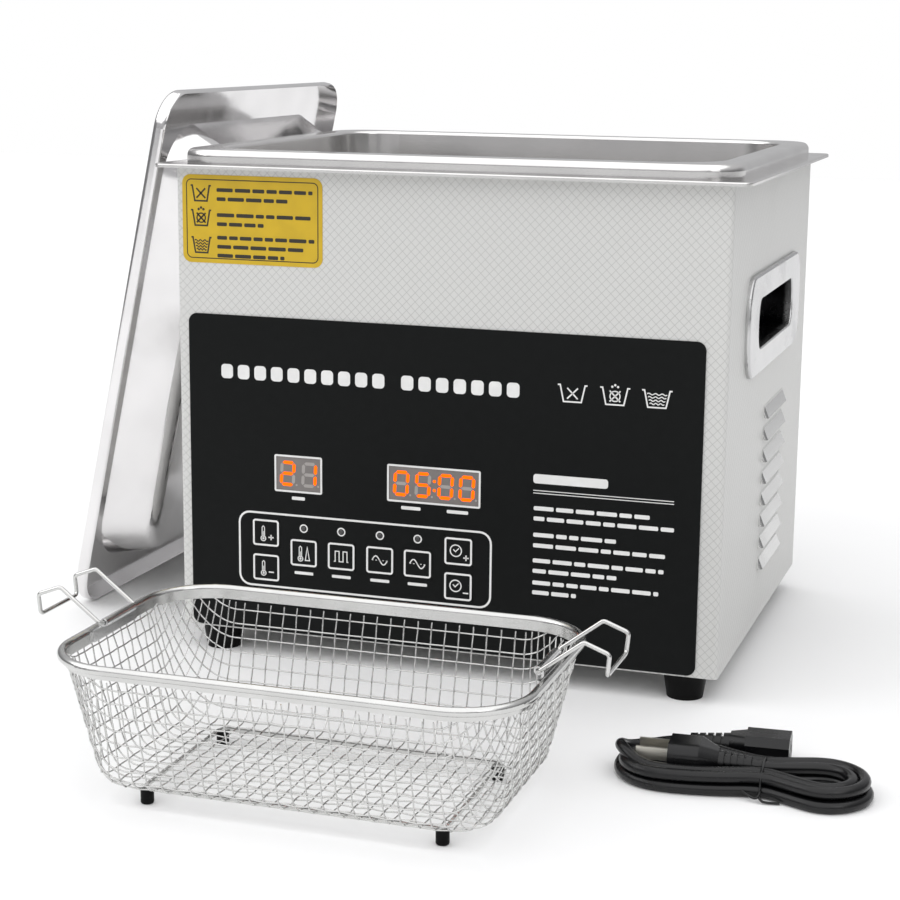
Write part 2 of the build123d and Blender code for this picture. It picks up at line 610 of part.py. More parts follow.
# ---------------------------------------------------------------- power inlet, switch and fuse
inlet_plane = Plane(origin=(INLET_X, DEPTH / 2, INLET_Z), x_dir=(-1, 0, 0), z_dir=(0, 1, 0))
INLET_FACE, INLET_BACK, INLET_FLOOR = 3.0, -18.0, -13.0
with BuildPart() as power_inlet:
    with BuildSketch(inlet_plane):
        RectangleRounded(48, 22.4, 3)
        with GridLocations(40, 0, 2, 1):
            Circle(1.6, mode=Mode.SUBTRACT)
    extrude(amount=INLET_FACE)
    with BuildSketch(inlet_plane):
        Rectangle(27.4, 20)
    extrude(amount=INLET_BACK)
    with BuildSketch(inlet_plane.offset(INLET_FACE)):
        cavity = Rectangle(24, 16.4)
        chamfer(cavity.vertices().group_by(Axis.Z)[0], 4.5)
    extrude(amount=INLET_FLOOR - INLET_FACE, mode=Mode.SUBTRACT)
save(power_inlet, "power_inlet")

with BuildPart() as inlet_pins:
    with BuildSketch(inlet_plane.offset(INLET_FLOOR)):
        with Locations((-7, -1), (0, 3), (7, -1)):
            Rectangle(2, 4)
    extrude(amount=12)
save(inlet_pins, "inlet_pins")

rocker_plane = Plane(origin=(ROCKER_X, DEPTH / 2, ROCKER_Z), x_dir=(-1, 0, 0), z_dir=(0, 1, 0))
pivot_plane = Plane(origin=(ROCKER_X, ROCKER_PIVOT_Y, ROCKER_Z), x_dir=(0, 1, 0), z_dir=(1, 0, 0))
tilt = radians(ROCKER_TILT)
tilted_plane = Plane(origin=pivot_plane.origin, x_dir=(0, cos(tilt), sin(tilt)), z_dir=(1, 0, 0))
with BuildPart() as rocker_bezel:
    with BuildSketch(rocker_plane):
        RectangleRounded(15, 21, 1)
    extrude(amount=2)
    with BuildSketch(rocker_plane):
        Rectangle(13, 19)
    extrude(amount=-14)
    with BuildSketch(rocker_plane.offset(2)):
        Rectangle(10.8, 17.5)
    extrude(amount=-8, mode=Mode.SUBTRACT)
    with BuildSketch(pivot_plane):
        Circle(1.15)
    extrude(amount=6.3, both=True, mode=Mode.SUBTRACT)
save(rocker_bezel, "rocker_bezel")

with BuildPart() as power_rocker:
    with BuildSketch(tilted_plane):
        with BuildLine():
            Polyline((-3, -6.6), (3.6, -7.2), (2.8, 0), (3.6, 7.2), (-3, 6.6), close=True)
        make_face()
    extrude(amount=5.1, both=True)
    with BuildSketch(pivot_plane):
        Circle(1.0)
    extrude(amount=6.1, both=True)
save(power_rocker, "power_rocker")

fuse_plane = Plane(origin=(FUSE_X, DEPTH / 2, FUSE_Z), x_dir=(-1, 0, 0), z_dir=(0, 1, 0))
with BuildPart() as fuse_holder:
    with BuildSketch(fuse_plane.offset(-26)):
        Circle(6.1)
    extrude(amount=26)
    with BuildSketch(fuse_plane):
        Circle(8)
    extrude(amount=7)
    chamfer(fuse_holder.faces().sort_by(Axis.Y)[-1].edges(), 1)
    with BuildSketch(fuse_plane.offset(7)):
        Rectangle(10, 1.6)
    extrude(amount=-1.5, mode=Mode.SUBTRACT)
save(fuse_holder, "fuse_holder")

# ---------------------------------------------------------------- drain and its ball valve
BATH_FLOOR = RIM_TOP - BATH_DROP
drain_across = Plane(origin=(0, DRAIN_Y, DRAIN_Z), x_dir=(-1, 0, 0), z_dir=(0, 1, 0))
with BuildPart() as drain_fitting:
    with BuildSketch(Plane.XY.offset(DRAIN_Z - DRAIN_TUBE)):
        with Locations((0, DRAIN_Y)):
            Circle(DRAIN_TUBE)
    extrude(amount=BATH_FLOOR - DRAIN_Z + DRAIN_TUBE)
    with BuildSketch(Plane.XY.offset(BATH_FLOOR)):
        with Locations((0, DRAIN_Y)):
            Circle(14)
    extrude(amount=1.5)
    with BuildSketch(drain_across):
        Circle(DRAIN_TUBE)
    extrude(amount=VALVE_START - DRAIN_Y)
    with BuildSketch(Plane.XY.offset(DRAIN_Z)):
        with Locations((0, DRAIN_Y)):
            Circle(DRAIN_BORE)
    extrude(amount=40, mode=Mode.SUBTRACT)
    with BuildSketch(drain_across):
        Circle(DRAIN_BORE)
    extrude(amount=VALVE_START - DRAIN_Y, mode=Mode.SUBTRACT)
save(drain_fitting, "drain_fitting")

VALVE_MIDDLE = (VALVE_START + VALVE_END) / 2
BONNET_TOP = DRAIN_Z + VALVE_RADIUS + 2.5
valve_plane = Plane(origin=(0, VALVE_START, DRAIN_Z), x_dir=(-1, 0, 0), z_dir=(0, 1, 0))
with BuildPart() as drain_valve:
    with BuildSketch(valve_plane):
        Circle(VALVE_RADIUS)
    extrude(amount=VALVE_END - VALVE_START)
    chamfer(drain_valve.edges(), 1.5)
    with BuildSketch(Plane.XY.offset(DRAIN_Z)):
        with Locations((0, VALVE_MIDDLE)):
            Circle(8)
    extrude(amount=BONNET_TOP - DRAIN_Z)
    with BuildSketch(valve_plane):
        Circle(DRAIN_BORE)
    extrude(amount=VALVE_END - VALVE_START, mode=Mode.SUBTRACT)
    with BuildSketch(Plane.XY.offset(DRAIN_Z)):
        with Locations((0, VALVE_MIDDLE)):
            Circle(STEM_HOLE)
    extrude(amount=40, mode=Mode.SUBTRACT)
    with BuildSketch(Plane(origin=(0, VALVE_MIDDLE, DRAIN_Z), x_dir=(0, 1, 0), z_dir=(1, 0, 0))):
        with BuildLine():
            ball_arc = CenterArc((0, 0), BALL_CHAMBER, 0, 180)
            Line(ball_arc @ 0, ball_arc @ 1)
        make_face()
    revolve(axis=Axis((0, VALVE_MIDDLE, DRAIN_Z), (0, 1, 0)), mode=Mode.SUBTRACT)
save(drain_valve, "drain_valve")

nozzle_plane = valve_plane.offset(VALVE_END - VALVE_START)
with BuildPart() as drain_nozzle:
    with BuildSketch(nozzle_plane):
        RegularPolygon(10.5, 6)
    extrude(amount=6)
    with BuildSketch(nozzle_plane.offset(6)):
        Circle(NOZZLE_RADIUS)
    extrude(amount=NOZZLE_LENGTH)
    chamfer(drain_nozzle.faces().sort_by(Axis.Y)[-1].edges(), 1)
    with BuildSketch(nozzle_plane):
        Circle(NOZZLE_BORE)
    extrude(amount=NOZZLE_LENGTH + 6, mode=Mode.SUBTRACT)
save(drain_nozzle, "drain_nozzle")

LEVER_BOTTOM = BONNET_TOP + 0.5
LEVER_THICK = 2.5
with BuildPart() as drain_ball:
    with BuildSketch(Plane(origin=(0, VALVE_MIDDLE, DRAIN_Z), x_dir=(0, 1, 0), z_dir=(1, 0, 0))):
        with BuildLine():
            ball_arc = CenterArc((0, 0), BALL_RADIUS, 0, 180)
            Line(ball_arc @ 0, ball_arc @ 1)
        make_face()
    revolve(axis=Axis((0, VALVE_MIDDLE, DRAIN_Z), (0, 1, 0)))
    with BuildSketch(Plane.XY.offset(DRAIN_Z)):
        with Locations((0, VALVE_MIDDLE)):
            Circle(STEM_RADIUS)
    extrude(amount=LEVER_BOTTOM + LEVER_THICK + 4 - DRAIN_Z)
    with BuildSketch(Plane(origin=(0, VALVE_MIDDLE, DRAIN_Z), x_dir=(0, 1, 0), z_dir=(1, 0, 0))):
        Circle(DRAIN_BORE)
    extrude(amount=BALL_RADIUS + 1, both=True, mode=Mode.SUBTRACT)
save(drain_ball, "drain_ball")

with BuildPart() as drain_lever:
    with BuildSketch(Plane.XY.offset(LEVER_BOTTOM)):
        with Locations((0, VALVE_MIDDLE)):
            Circle(9)
        with Locations((-LEVER_LENGTH / 2, VALVE_MIDDLE)):
            SlotOverall(LEVER_LENGTH + 12, 12)
        with Locations((0, VALVE_MIDDLE)):
            Circle(STEM_RADIUS, mode=Mode.SUBTRACT)
    extrude(amount=LEVER_THICK)
save(drain_lever, "drain_lever")

# ---------------------------------------------------------------- lid, leaning on the rim
lean = radians(LID_LEAN)
along_lid = Vector(sin(lean), 0, cos(lean))         # up the lid
through_lid = Vector(cos(lean), 0, -sin(lean))      # from its top face to its underside
lid_foot = Vector(LID_FOOT_X, LID_Y, LID_SKIRT * sin(lean))
lid_middle = lid_foot + along_lid * (LID_LENGTH / 2)
lid_plane = Plane(origin=lid_middle, x_dir=along_lid, z_dir=through_lid)
with BuildPart() as lid_pan:
    with BuildSketch(lid_plane):
        RectangleRounded(LID_LENGTH, LID_WIDTH, 22)
    extrude(amount=LID_SKIRT)
    fillet(lid_pan.faces().sort_by(Axis.X)[0].edges(), 3)
    with BuildSketch(lid_plane.offset(LID_SHEET)):
        RectangleRounded(LID_LENGTH - 2 * LID_SHEET, LID_WIDTH - 2 * LID_SHEET, 21)
    extrude(amount=LID_SKIRT, mode=Mode.SUBTRACT)
    add(draft_pan(lid_plane, DISH_LENGTH, DISH_WIDTH, 32, DISH_DROP, DISH_DRAFT, 9))
    add(
        draft_pan(
            lid_plane, DISH_LENGTH - 2 * LID_SHEET, DISH_WIDTH - 2 * LID_SHEET, 31,
            DISH_DROP - LID_SHEET, DISH_DRAFT, 8,
        ),
        mode=Mode.SUBTRACT,
    )
save(lid_pan, "lid_pan")

strap_plane = Plane(origin=lid_middle, x_dir=along_lid, z_dir=(0, 1, 0))
STRAP_FOOT = DISH_DROP - LID_SHEET
with BuildPart() as lid_handle:
    with BuildSketch(strap_plane):
        with BuildLine():
            half = LID_STRAP_LENGTH / 2
            thick = LID_STRAP_THICK
            Polyline(
                (-half - 16, STRAP_FOOT),
                (-half - 16, STRAP_FOOT - thick),
                (-half - thick, STRAP_FOOT - thick),
                (-half - thick, 2),
                (half + thick, 2),
                (half + thick, STRAP_FOOT - thick),
                (half + 16, STRAP_FOOT - thick),
                (half + 16, STRAP_FOOT),
                (half, STRAP_FOOT),
                (half, 2 + thick),
                (-half, 2 + thick),
                (-half, STRAP_FOOT),
                close=True,
            )
        make_face()
    extrude(amount=LID_STRAP_WIDTH / 2, both=True)
    outer_bends = lid_handle.edges().filter_by(
        lambda e: abs((e.center() - lid_middle).dot(through_lid) - 2) < 0.1
        and abs(e.center().Y - LID_Y) < 0.1
    )
    fillet(outer_bends, 5)
save(lid_handle, "lid_handle")

# ---------------------------------------------------------------- basket
basket_at = (BASKET_X, BASKET_Y)
BAND_LENGTH, BAND_WIDTH = BASKET_LENGTH - 2 * RIM_WIRE, BASKET_WIDTH - 2 * RIM_WIRE    # inside sizes
BAND_CORNER = BASKET_CORNER - RIM_WIRE
TRAY_LENGTH, TRAY_WIDTH = BAND_LENGTH + 2 * BAND_SHEET, BAND_WIDTH + 2 * BAND_SHEET
TRAY_CORNER = BAND_CORNER + BAND_SHEET
TRAY_TOP_Z = BASKET_RIM_Z - BAND_DROP
with BuildPart() as basket_rim:
    with BuildSketch(Plane.XY.offset(BASKET_RIM_Z - RIM_WIRE / 2)):
        with Locations(basket_at):
            RectangleRounded(BASKET_LENGTH, BASKET_WIDTH, BASKET_CORNER)
            RectangleRounded(BAND_LENGTH, BAND_WIDTH, BAND_CORNER, mode=Mode.SUBTRACT)
    extrude(amount=RIM_WIRE)
    rim_edges = basket_rim.edges().group_by(Axis.Z)
    fillet(rim_edges[-1] + rim_edges[0], RIM_WIRE / 2 - 0.05)
    with BuildSketch(Plane.XY.offset(TRAY_TOP_Z)):
        with Locations(basket_at):
            RectangleRounded(TRAY_LENGTH, TRAY_WIDTH, TRAY_CORNER)
            RectangleRounded(BAND_LENGTH, BAND_WIDTH, BAND_CORNER, mode=Mode.SUBTRACT)
    extrude(amount=BAND_DROP)
save(basket_rim, "basket_rim")

tray_top = Plane(origin=(BASKET_X, BASKET_Y, TRAY_TOP_Z), x_dir=(1, 0, 0), z_dir=(0, 0, -1))
with BuildPart() as basket_tray:
    add(draft_pan(
        tray_top, TRAY_LENGTH, TRAY_WIDTH, TRAY_CORNER, TRAY_TOP_Z - TRAY_FLOOR_Z, TRAY_DRAFT, 15,
    ))
    add(
        draft_pan(
            tray_top, TRAY_LENGTH - 2 * TRAY_SHEET, TRAY_WIDTH - 2 * TRAY_SHEET, TRAY_CORNER - TRAY_SHEET,
            TRAY_TOP_Z - TRAY_FLOOR_Z - TRAY_SHEET, TRAY_DRAFT, 14,
        ),
        mode=Mode.SUBTRACT,
    )
save(basket_tray, "basket_tray")

with BuildPart() as basket_support:
    with BuildSketch(Plane.XY.offset(CAP_HEIGHT)):
        with Locations(basket_at):
            RectangleRounded(SUPPORT_LENGTH + SUPPORT_WIRE, SUPPORT_WIDTH + SUPPORT_WIRE, 5)
            RectangleRounded(
                SUPPORT_LENGTH - SUPPORT_WIRE, SUPPORT_WIDTH - SUPPORT_WIRE, 4, mode=Mode.SUBTRACT,
            )
    extrude(amount=TRAY_FLOOR_Z - CAP_HEIGHT)
save(basket_support, "basket_support")

with BuildPart() as basket_caps:
    with BuildSketch(Plane.XY):
        with Locations(basket_at):
            with GridLocations(SUPPORT_LENGTH - 3, SUPPORT_WIDTH - 3, 2, 2):
                Circle(CAP_RADIUS)
    extrude(amount=CAP_HEIGHT)
    fillet(basket_caps.edges().group_by(Axis.Z)[0], 1)
save(basket_caps, "basket_caps")

HINGE_TUBE, HINGE_BORE = 2.1, 1.25          # radii
with BuildPart() as basket_end_plates:
    for side in (1, -1):
        plate_at = (BASKET_X + side * (BAND_LENGTH / 2 - 1.2), BASKET_Y, 0)
        end_plane = Plane(origin=plate_at, x_dir=(0, side, 0), z_dir=(side, 0, 0))
        with BuildSketch(end_plane):
            with Locations((0, (TRAY_TOP_Z + PIVOT_Z - 2.5) / 2 + 0.2)):
                Rectangle(44, PIVOT_Z - 2.5 - TRAY_TOP_Z)
            with Locations((0, (TRAY_TOP_Z + PIVOT_Z) / 2 + 0.2)):
                Rectangle(30, PIVOT_Z - TRAY_TOP_Z)
        extrude(amount=1.2)
        hinge_at = (BASKET_X + side * PIVOT_OUT, BASKET_Y, PIVOT_Z)
        tube_plane = Plane(origin=hinge_at, x_dir=(1, 0, 0), z_dir=(0, -1, 0))
        with BuildSketch(tube_plane):
            Circle(HINGE_TUBE)
        extrude(amount=15, both=True)
        with BuildSketch(tube_plane):
            Circle(HINGE_BORE)
        extrude(amount=23, both=True, mode=Mode.SUBTRACT)
save(basket_end_plates, "basket_end_plates")

for side, name in ((1, "basket_handle_right"), (-1, "basket_handle_left")):
    near = [
        (BASKET_X + side * (PIVOT_OUT + out), BASKET_Y - HANDLE_HALF_SPAN, PIVOT_Z + up)
        for out, up in HOOK_OUTLINE
    ]
    far = [(x, y + 2 * HANDLE_HALF_SPAN, z) for x, y, z in reversed(near)]
    handle = wire_loop(near + far, HANDLE_WIRE, 2.4)
    save(handle, name)

# ---------------------------------------------------------------- mains lead, folded into a hank
turn = radians(LEAD_TURN)
lead_along = Vector(cos(turn), sin(turn), 0)
lead_across = Vector(-sin(turn), cos(turn), 0)


def lead_level(height):
    """Horizontal plane of the lead: local x along the hank, local y across it."""
    return Plane(origin=(LEAD_X, LEAD_Y, height), x_dir=lead_along, z_dir=(0, 0, 1))


def lead_section(u, v, height):
    """Upright plane across the lead's length at u, centred on v and a height."""
    place = Vector(LEAD_X, LEAD_Y, height) + lead_along * u + lead_across * v
    return Plane(origin=place, x_dir=lead_across, z_dir=lead_along)


TIE_WIDTH, TIE_HEIGHT, TIE_WIRE = 27.5, 10.0, 2.0
with BuildPart() as lead_hank:
    for lobe_u, lobe_v, lobe_radius in ((-37.5, 9.0, 28.5), (35.0, -2.0, 26.0)):
        with BuildSketch(lead_level(0)):
            with Locations((lobe_u, lobe_v)):
                Circle(lobe_radius)
            with Locations((TIE_U, 0)):
                Circle(15)
            make_hull()
        extrude(amount=HANK_HEIGHT)
    with BuildSketch(lead_level(0)):
        with Locations((-36.0, PLUG_V)):
            Rectangle(44, 25)
        with Locations((-7.0, PLUG_V)):
            Rectangle(18, 14)
        with Locations((0, CONNECTOR_V + 10)):
            Rectangle(64, 42)
    extrude(amount=HANK_HEIGHT, mode=Mode.SUBTRACT)
    with BuildSketch(lead_section(TIE_U - TIE_WIRE / 2, 0, HANK_HEIGHT / 2)):
        Rectangle(60, 20)
        RectangleRounded(TIE_WIDTH, TIE_HEIGHT, 3, mode=Mode.SUBTRACT)
    extrude(amount=TIE_WIRE, mode=Mode.SUBTRACT)
save(lead_hank, "lead_hank")

with BuildPart() as lead_tie:
    with BuildSketch(lead_section(TIE_U - TIE_WIRE / 2, 0, HANK_HEIGHT / 2)):
        RectangleRounded(TIE_WIDTH + 2 * 1.5, TIE_HEIGHT + 2 * 1.5, 4)
        RectangleRounded(TIE_WIDTH, TIE_HEIGHT, 3, mode=Mode.SUBTRACT)
    extrude(amount=TIE_WIRE)
save(lead_tie, "lead_tie")
PLUG_LENGTH, PLUG_WIDTH, PLUG_TALL = 24.0, 24.0, 20.0
PLUG_FACE_U, RELIEF_START_U, RELIEF_END_U = -38.0, -14.0, 2.0
RELIEF_THICK, RELIEF_THIN = 6.0, 4.2        # radii
RIB_COUNT = 4


def ribbed_relief(start_u, end_u, v, height):
    """Tapered strain relief with ring grooves, from its thick end at start_u to its thin end at end_u."""
    length = abs(end_u - start_u)
    towards = 1 if end_u > start_u else -1
    place = Vector(LEAD_X, LEAD_Y, height) + lead_along * start_u + lead_across * v
    along = Plane(origin=place, x_dir=lead_along * towards, z_dir=lead_across * -towards)
    with BuildPart() as relief:
        with BuildSketch(along):
            with BuildLine():
                Polyline((0, 0), (0, RELIEF_THICK), (length, RELIEF_THIN), (length, 0), close=True)
            make_face()
            for rib in range(RIB_COUNT):
                with Locations((length * (rib + 1) / (RIB_COUNT + 1), RELIEF_THICK)):
                    Rectangle(1.2, 2 * (RELIEF_THICK - CORD_DIAMETER / 2 - 0.9), mode=Mode.SUBTRACT)
        revolve(axis=Axis(place, lead_along))
    return relief.part


with BuildPart() as lead_plug:
    with BuildSketch(lead_section(PLUG_FACE_U, PLUG_V, PLUG_Z)):
        RectangleRounded(PLUG_WIDTH, PLUG_TALL, 6)
    extrude(amount=PLUG_LENGTH - 9)
    with BuildSketch(lead_section(PLUG_FACE_U + PLUG_LENGTH - 9, PLUG_V, PLUG_Z)):
        RectangleRounded(PLUG_WIDTH, PLUG_TALL, 6)
    with BuildSketch(lead_section(RELIEF_START_U, PLUG_V, PLUG_Z)):
        RectangleRounded(2 * RELIEF_THICK + 2, 2 * RELIEF_THICK + 1, 5)
    loft()
    add(ribbed_relief(RELIEF_START_U, RELIEF_END_U, PLUG_V, PLUG_Z))
save(lead_plug, "lead_plug")

BLADE_PITCH, BLADE_WIDTH, BLADE_THICK, BLADE_LENGTH = 12.7, 6.3, 1.5, 16.0
with BuildPart() as lead_pins:
    with BuildSketch(lead_section(PLUG_FACE_U, PLUG_V, PLUG_Z + 3.5)):
        with GridLocations(BLADE_PITCH, 0, 2, 1):
            Rectangle(BLADE_THICK, BLADE_WIDTH)
    extrude(amount=-BLADE_LENGTH)
    with BuildSketch(lead_section(PLUG_FACE_U, PLUG_V, PLUG_Z - 6)):
        Circle(2.4)
    extrude(amount=-BLADE_LENGTH - 1.5)
save(lead_pins, "lead_pins")

CONNECTOR_FACE_U, CONNECTOR_BACK_U, CONNECTOR_RELIEF_U = 18.0, -12.0, -32.0
CONNECTOR_WIDTH, CONNECTOR_TALL = 21.5, 15.8
with BuildPart() as lead_connector:
    with BuildSketch(lead_section(CONNECTOR_BACK_U + 8, CONNECTOR_V, CONNECTOR_Z)):
        outline = Rectangle(CONNECTOR_WIDTH, CONNECTOR_TALL)
        chamfer(outline.vertices().group_by(Axis.Z)[-1], 4)
    extrude(amount=CONNECTOR_FACE_U - CONNECTOR_BACK_U - 8)
    with BuildSketch(lead_section(CONNECTOR_BACK_U + 8, CONNECTOR_V, CONNECTOR_Z)):
        RectangleRounded(CONNECTOR_WIDTH - 3, CONNECTOR_TALL - 2, 4)
    with BuildSketch(lead_section(CONNECTOR_BACK_U, CONNECTOR_V, CONNECTOR_Z)):
        RectangleRounded(2 * RELIEF_THICK + 2, 2 * RELIEF_THICK + 1, 5)
    loft()
    with BuildSketch(lead_section(CONNECTOR_FACE_U, CONNECTOR_V, CONNECTOR_Z)):
        with Locations((-6, -1.5), (0, 2.5), (6, -1.5)):
            Rectangle(2.4, 5)
    extrude(amount=-17, mode=Mode.SUBTRACT)
    add(ribbed_relief(CONNECTOR_BACK_U, CONNECTOR_RELIEF_U, CONNECTOR_V, CONNECTOR_Z))
save(lead_connector, "lead_connector")
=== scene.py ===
import json
import logging
import math
import random
from dataclasses import dataclass, field
from enum import Enum

import bmesh
import bpy
from mathutils import Matrix, Vector

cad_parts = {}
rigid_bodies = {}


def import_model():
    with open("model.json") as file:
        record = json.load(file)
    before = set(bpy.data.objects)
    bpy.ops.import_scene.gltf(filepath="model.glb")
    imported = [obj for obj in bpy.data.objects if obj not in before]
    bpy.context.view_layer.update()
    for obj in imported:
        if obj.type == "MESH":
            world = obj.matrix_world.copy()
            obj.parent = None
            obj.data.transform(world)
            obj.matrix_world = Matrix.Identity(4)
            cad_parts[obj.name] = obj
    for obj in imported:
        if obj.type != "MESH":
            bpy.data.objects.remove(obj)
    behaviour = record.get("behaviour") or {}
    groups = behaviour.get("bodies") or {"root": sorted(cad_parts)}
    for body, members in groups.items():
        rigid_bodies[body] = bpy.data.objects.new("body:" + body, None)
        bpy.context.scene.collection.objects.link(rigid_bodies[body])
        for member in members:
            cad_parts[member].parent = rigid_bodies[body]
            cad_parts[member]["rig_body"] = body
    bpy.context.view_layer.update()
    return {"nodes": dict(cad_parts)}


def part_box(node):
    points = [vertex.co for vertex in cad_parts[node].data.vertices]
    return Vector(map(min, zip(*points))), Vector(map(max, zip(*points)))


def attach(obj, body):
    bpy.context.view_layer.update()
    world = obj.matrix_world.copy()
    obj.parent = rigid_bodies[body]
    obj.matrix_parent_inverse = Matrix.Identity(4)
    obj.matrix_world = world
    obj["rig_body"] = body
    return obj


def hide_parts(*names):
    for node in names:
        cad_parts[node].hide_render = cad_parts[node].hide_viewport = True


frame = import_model()
log = logging.getLogger("ultrasonic_cleaner")

MM = 0.001
Flat = tuple[float, float]
Colour = tuple[float, float, float]
Socket = bpy.types.NodeSocket


class Slot(Enum):
    """Names of the record's material slots, passed along with the printed pieces."""

    EMBOSSED_STEEL = "embossed_steel"
    BRIGHT_STEEL = "bright_steel"
    PLAIN_STEEL = "plain_steel"
    PANEL_FILM = "panel_film"
    KEY_FILM = "key_film"
    DISPLAY_WINDOW = "display_window"
    WIRE_STEEL = "wire_steel"
    CORD_JACKET = "cord_jacket"
    BLACK_PLASTIC = "black_plastic"


class Stock(Enum):
    """Direction that a metal's polishing grain is stretched along."""

    EVEN = (1.0, 1.0, 1.0)
    ALONG_X = (0.06, 1.0, 1.0)
    ALONG_Y = (1.0, 0.06, 1.0)
    ALONG_Z = (1.0, 1.0, 0.06)


# ------------------------------------------------------------------ shader node helpers
class Graph:
    """One node tree while its nodes are being placed."""

    def __init__(self, tree: bpy.types.NodeTree) -> None:
        """Keep the tree that the nodes go into."""
        self.tree = tree

    def add(self, kind: str, inputs: dict | None = None, **settings: object) -> bpy.types.Node:
        """Place a node and fill its sockets.

        Args:
            kind: The node type's identifier.
            inputs: Socket name or number to a plain value or to another node's output.
            settings: Properties of the node itself.

        Returns:
            The new node.
        """
        node = self.tree.nodes.new(kind)
        for name, value in settings.items():
            setattr(node, name, value)
        for socket, value in (inputs or {}).items():
            if isinstance(value, Socket):
                self.tree.links.new(value, node.inputs[socket])
            else:
                node.inputs[socket].default_value = value
        return node

    def wire(self, shader: bpy.types.Node, sockets: dict[str, Socket]) -> None:
        """Link outputs to the shader's sockets by name."""
        for name, output in sockets.items():
            self.tree.links.new(output, shader.inputs[name])

    def math(self, operation: str, first: object, second: object = 0.0) -> Socket:
        """Return the output of a Math node that combines two numbers or sockets."""
        return self.add("ShaderNodeMath", {0: first, 1: second}, operation=operation).outputs[0]

    def remap(self, value: Socket, low: float, high: float, to_low: float, to_high: float) -> Socket:
        """Return a value carried smoothly from one range to another.

        Args:
            value: The socket that is read.
            low: Value that gives to_low.
            high: Value that gives to_high.
            to_low: Result at or below low.
            to_high: Result at or above high.

        Returns:
            The output socket.
        """
        ranges = {"Value": value, "From Min": low, "From Max": high, "To Min": to_low, "To Max": to_high}
        return self.add("ShaderNodeMapRange", ranges, interpolation_type="SMOOTHSTEP").outputs["Result"]

    def blend(self, factor: object, first: object, second: object) -> Socket:
        """Return the colour that a Mix node makes of two colours.

        Args:
            factor: Share of the second colour.
            first: Colour or socket shown at 0.
            second: Colour or socket shown at 1.

        Returns:
            The colour output.
        """
        node = self.tree.nodes.new("ShaderNodeMix")
        node.data_type = "RGBA"
        for socket, value in (("Factor_Float", factor), ("A_Color", first), ("B_Color", second)):
            target = next(entry for entry in node.inputs if entry.identifier == socket)
            if isinstance(value, Socket):
                self.tree.links.new(value, target)
            else:
                target.default_value = value if isinstance(value, float) else (*value, 1.0)
        return next(entry for entry in node.outputs if entry.identifier == "Result_Color")


class EffectGroup:
    """A shader node group with named sockets, built once and shared by materials."""

    def __init__(self, name: str, inputs: dict[str, str], outputs: tuple[str, ...]) -> None:
        """Make the empty group.

        Args:
            name: The group's name.
            inputs: Socket name to socket kind, Float or Vector.
            outputs: Names of the number outputs.
        """
        self.tree = bpy.data.node_groups.new(name, "ShaderNodeTree")
        for socket, kind in inputs.items():
            self.tree.interface.new_socket(socket, in_out="INPUT", socket_type=f"NodeSocket{kind}")
        for socket in outputs:
            self.tree.interface.new_socket(socket, in_out="OUTPUT", socket_type="NodeSocketFloat")
        self.graph = Graph(self.tree)
        self.given = self.graph.add("NodeGroupInput").outputs

    def close(self, results: dict[str, Socket]) -> bpy.types.NodeTree:
        """Join the results to the group's outputs and return the finished tree."""
        self.graph.add("NodeGroupOutput", dict(results))
        return self.tree


def grain_group() -> bpy.types.NodeTree:
    """Build the polishing grain: fine streaks and a slow change of tone.

    Returns:
        The group, with outputs Height and Tone.
    """
    group = EffectGroup("polishing_grain", {"Vector": "Vector", "Stretch": "Vector", "Scale": "Float"},
                        ("Height", "Tone"))
    graph, given = group.graph, group.given
    stretched = graph.add("ShaderNodeVectorMath", {0: given["Vector"], 1: given["Stretch"]},
                          operation="MULTIPLY").outputs[0]
    streaks = graph.add("ShaderNodeTexNoise", {"Vector": stretched, "Scale": given["Scale"], "Detail": 6.0})
    coarse = graph.math("MULTIPLY", given["Scale"], 0.04)
    tone = graph.add("ShaderNodeTexNoise", {"Vector": given["Vector"], "Scale": coarse, "Detail": 3.0})
    return group.close({"Height": streaks.outputs["Fac"], "Tone": tone.outputs["Fac"]})


def handling_group() -> bpy.types.NodeTree:
    """Build the marks of handling: soft smears and thin scratches.

    Returns:
        The group, with outputs Smear and Scratch.
    """
    group = EffectGroup("handling_marks", {"Vector": "Vector", "Scale": "Float"}, ("Smear", "Scratch"))
    graph, given = group.graph, group.given
    cloud = graph.add("ShaderNodeTexNoise",
                      {"Vector": given["Vector"], "Scale": given["Scale"], "Detail": 5.0, "Distortion": 0.8})
    smear = graph.remap(cloud.outputs["Fac"], 0.48, 0.72, 0.0, 1.0)
    fine = graph.math("MULTIPLY", given["Scale"], 6.0)
    cells = graph.add("ShaderNodeTexVoronoi", {"Vector": given["Vector"], "Scale": fine, "Randomness": 1.0},
                      feature="DISTANCE_TO_EDGE")
    scratch = graph.remap(cells.outputs["Distance"], 0.0, 0.02, 1.0, 0.0)
    return group.close({"Smear": smear, "Scratch": graph.math("MULTIPLY", scratch, smear)})


def speckle_group() -> bpy.types.NodeTree:
    """Build the skin of a moulded or cast surface: small pits and a mottled tone.

    Returns:
        The group, with outputs Height and Tone.
    """
    group = EffectGroup("moulded_skin", {"Vector": "Vector", "Scale": "Float"}, ("Height", "Tone"))
    graph, given = group.graph, group.given
    pits = graph.add("ShaderNodeTexNoise",
                     {"Vector": given["Vector"], "Scale": given["Scale"], "Detail": 4.0})
    slow = graph.math("MULTIPLY", given["Scale"], 0.07)
    tone = graph.add("ShaderNodeTexNoise", {"Vector": given["Vector"], "Scale": slow, "Detail": 2.0})
    return group.close({"Height": pits.outputs["Fac"], "Tone": tone.outputs["Fac"]})


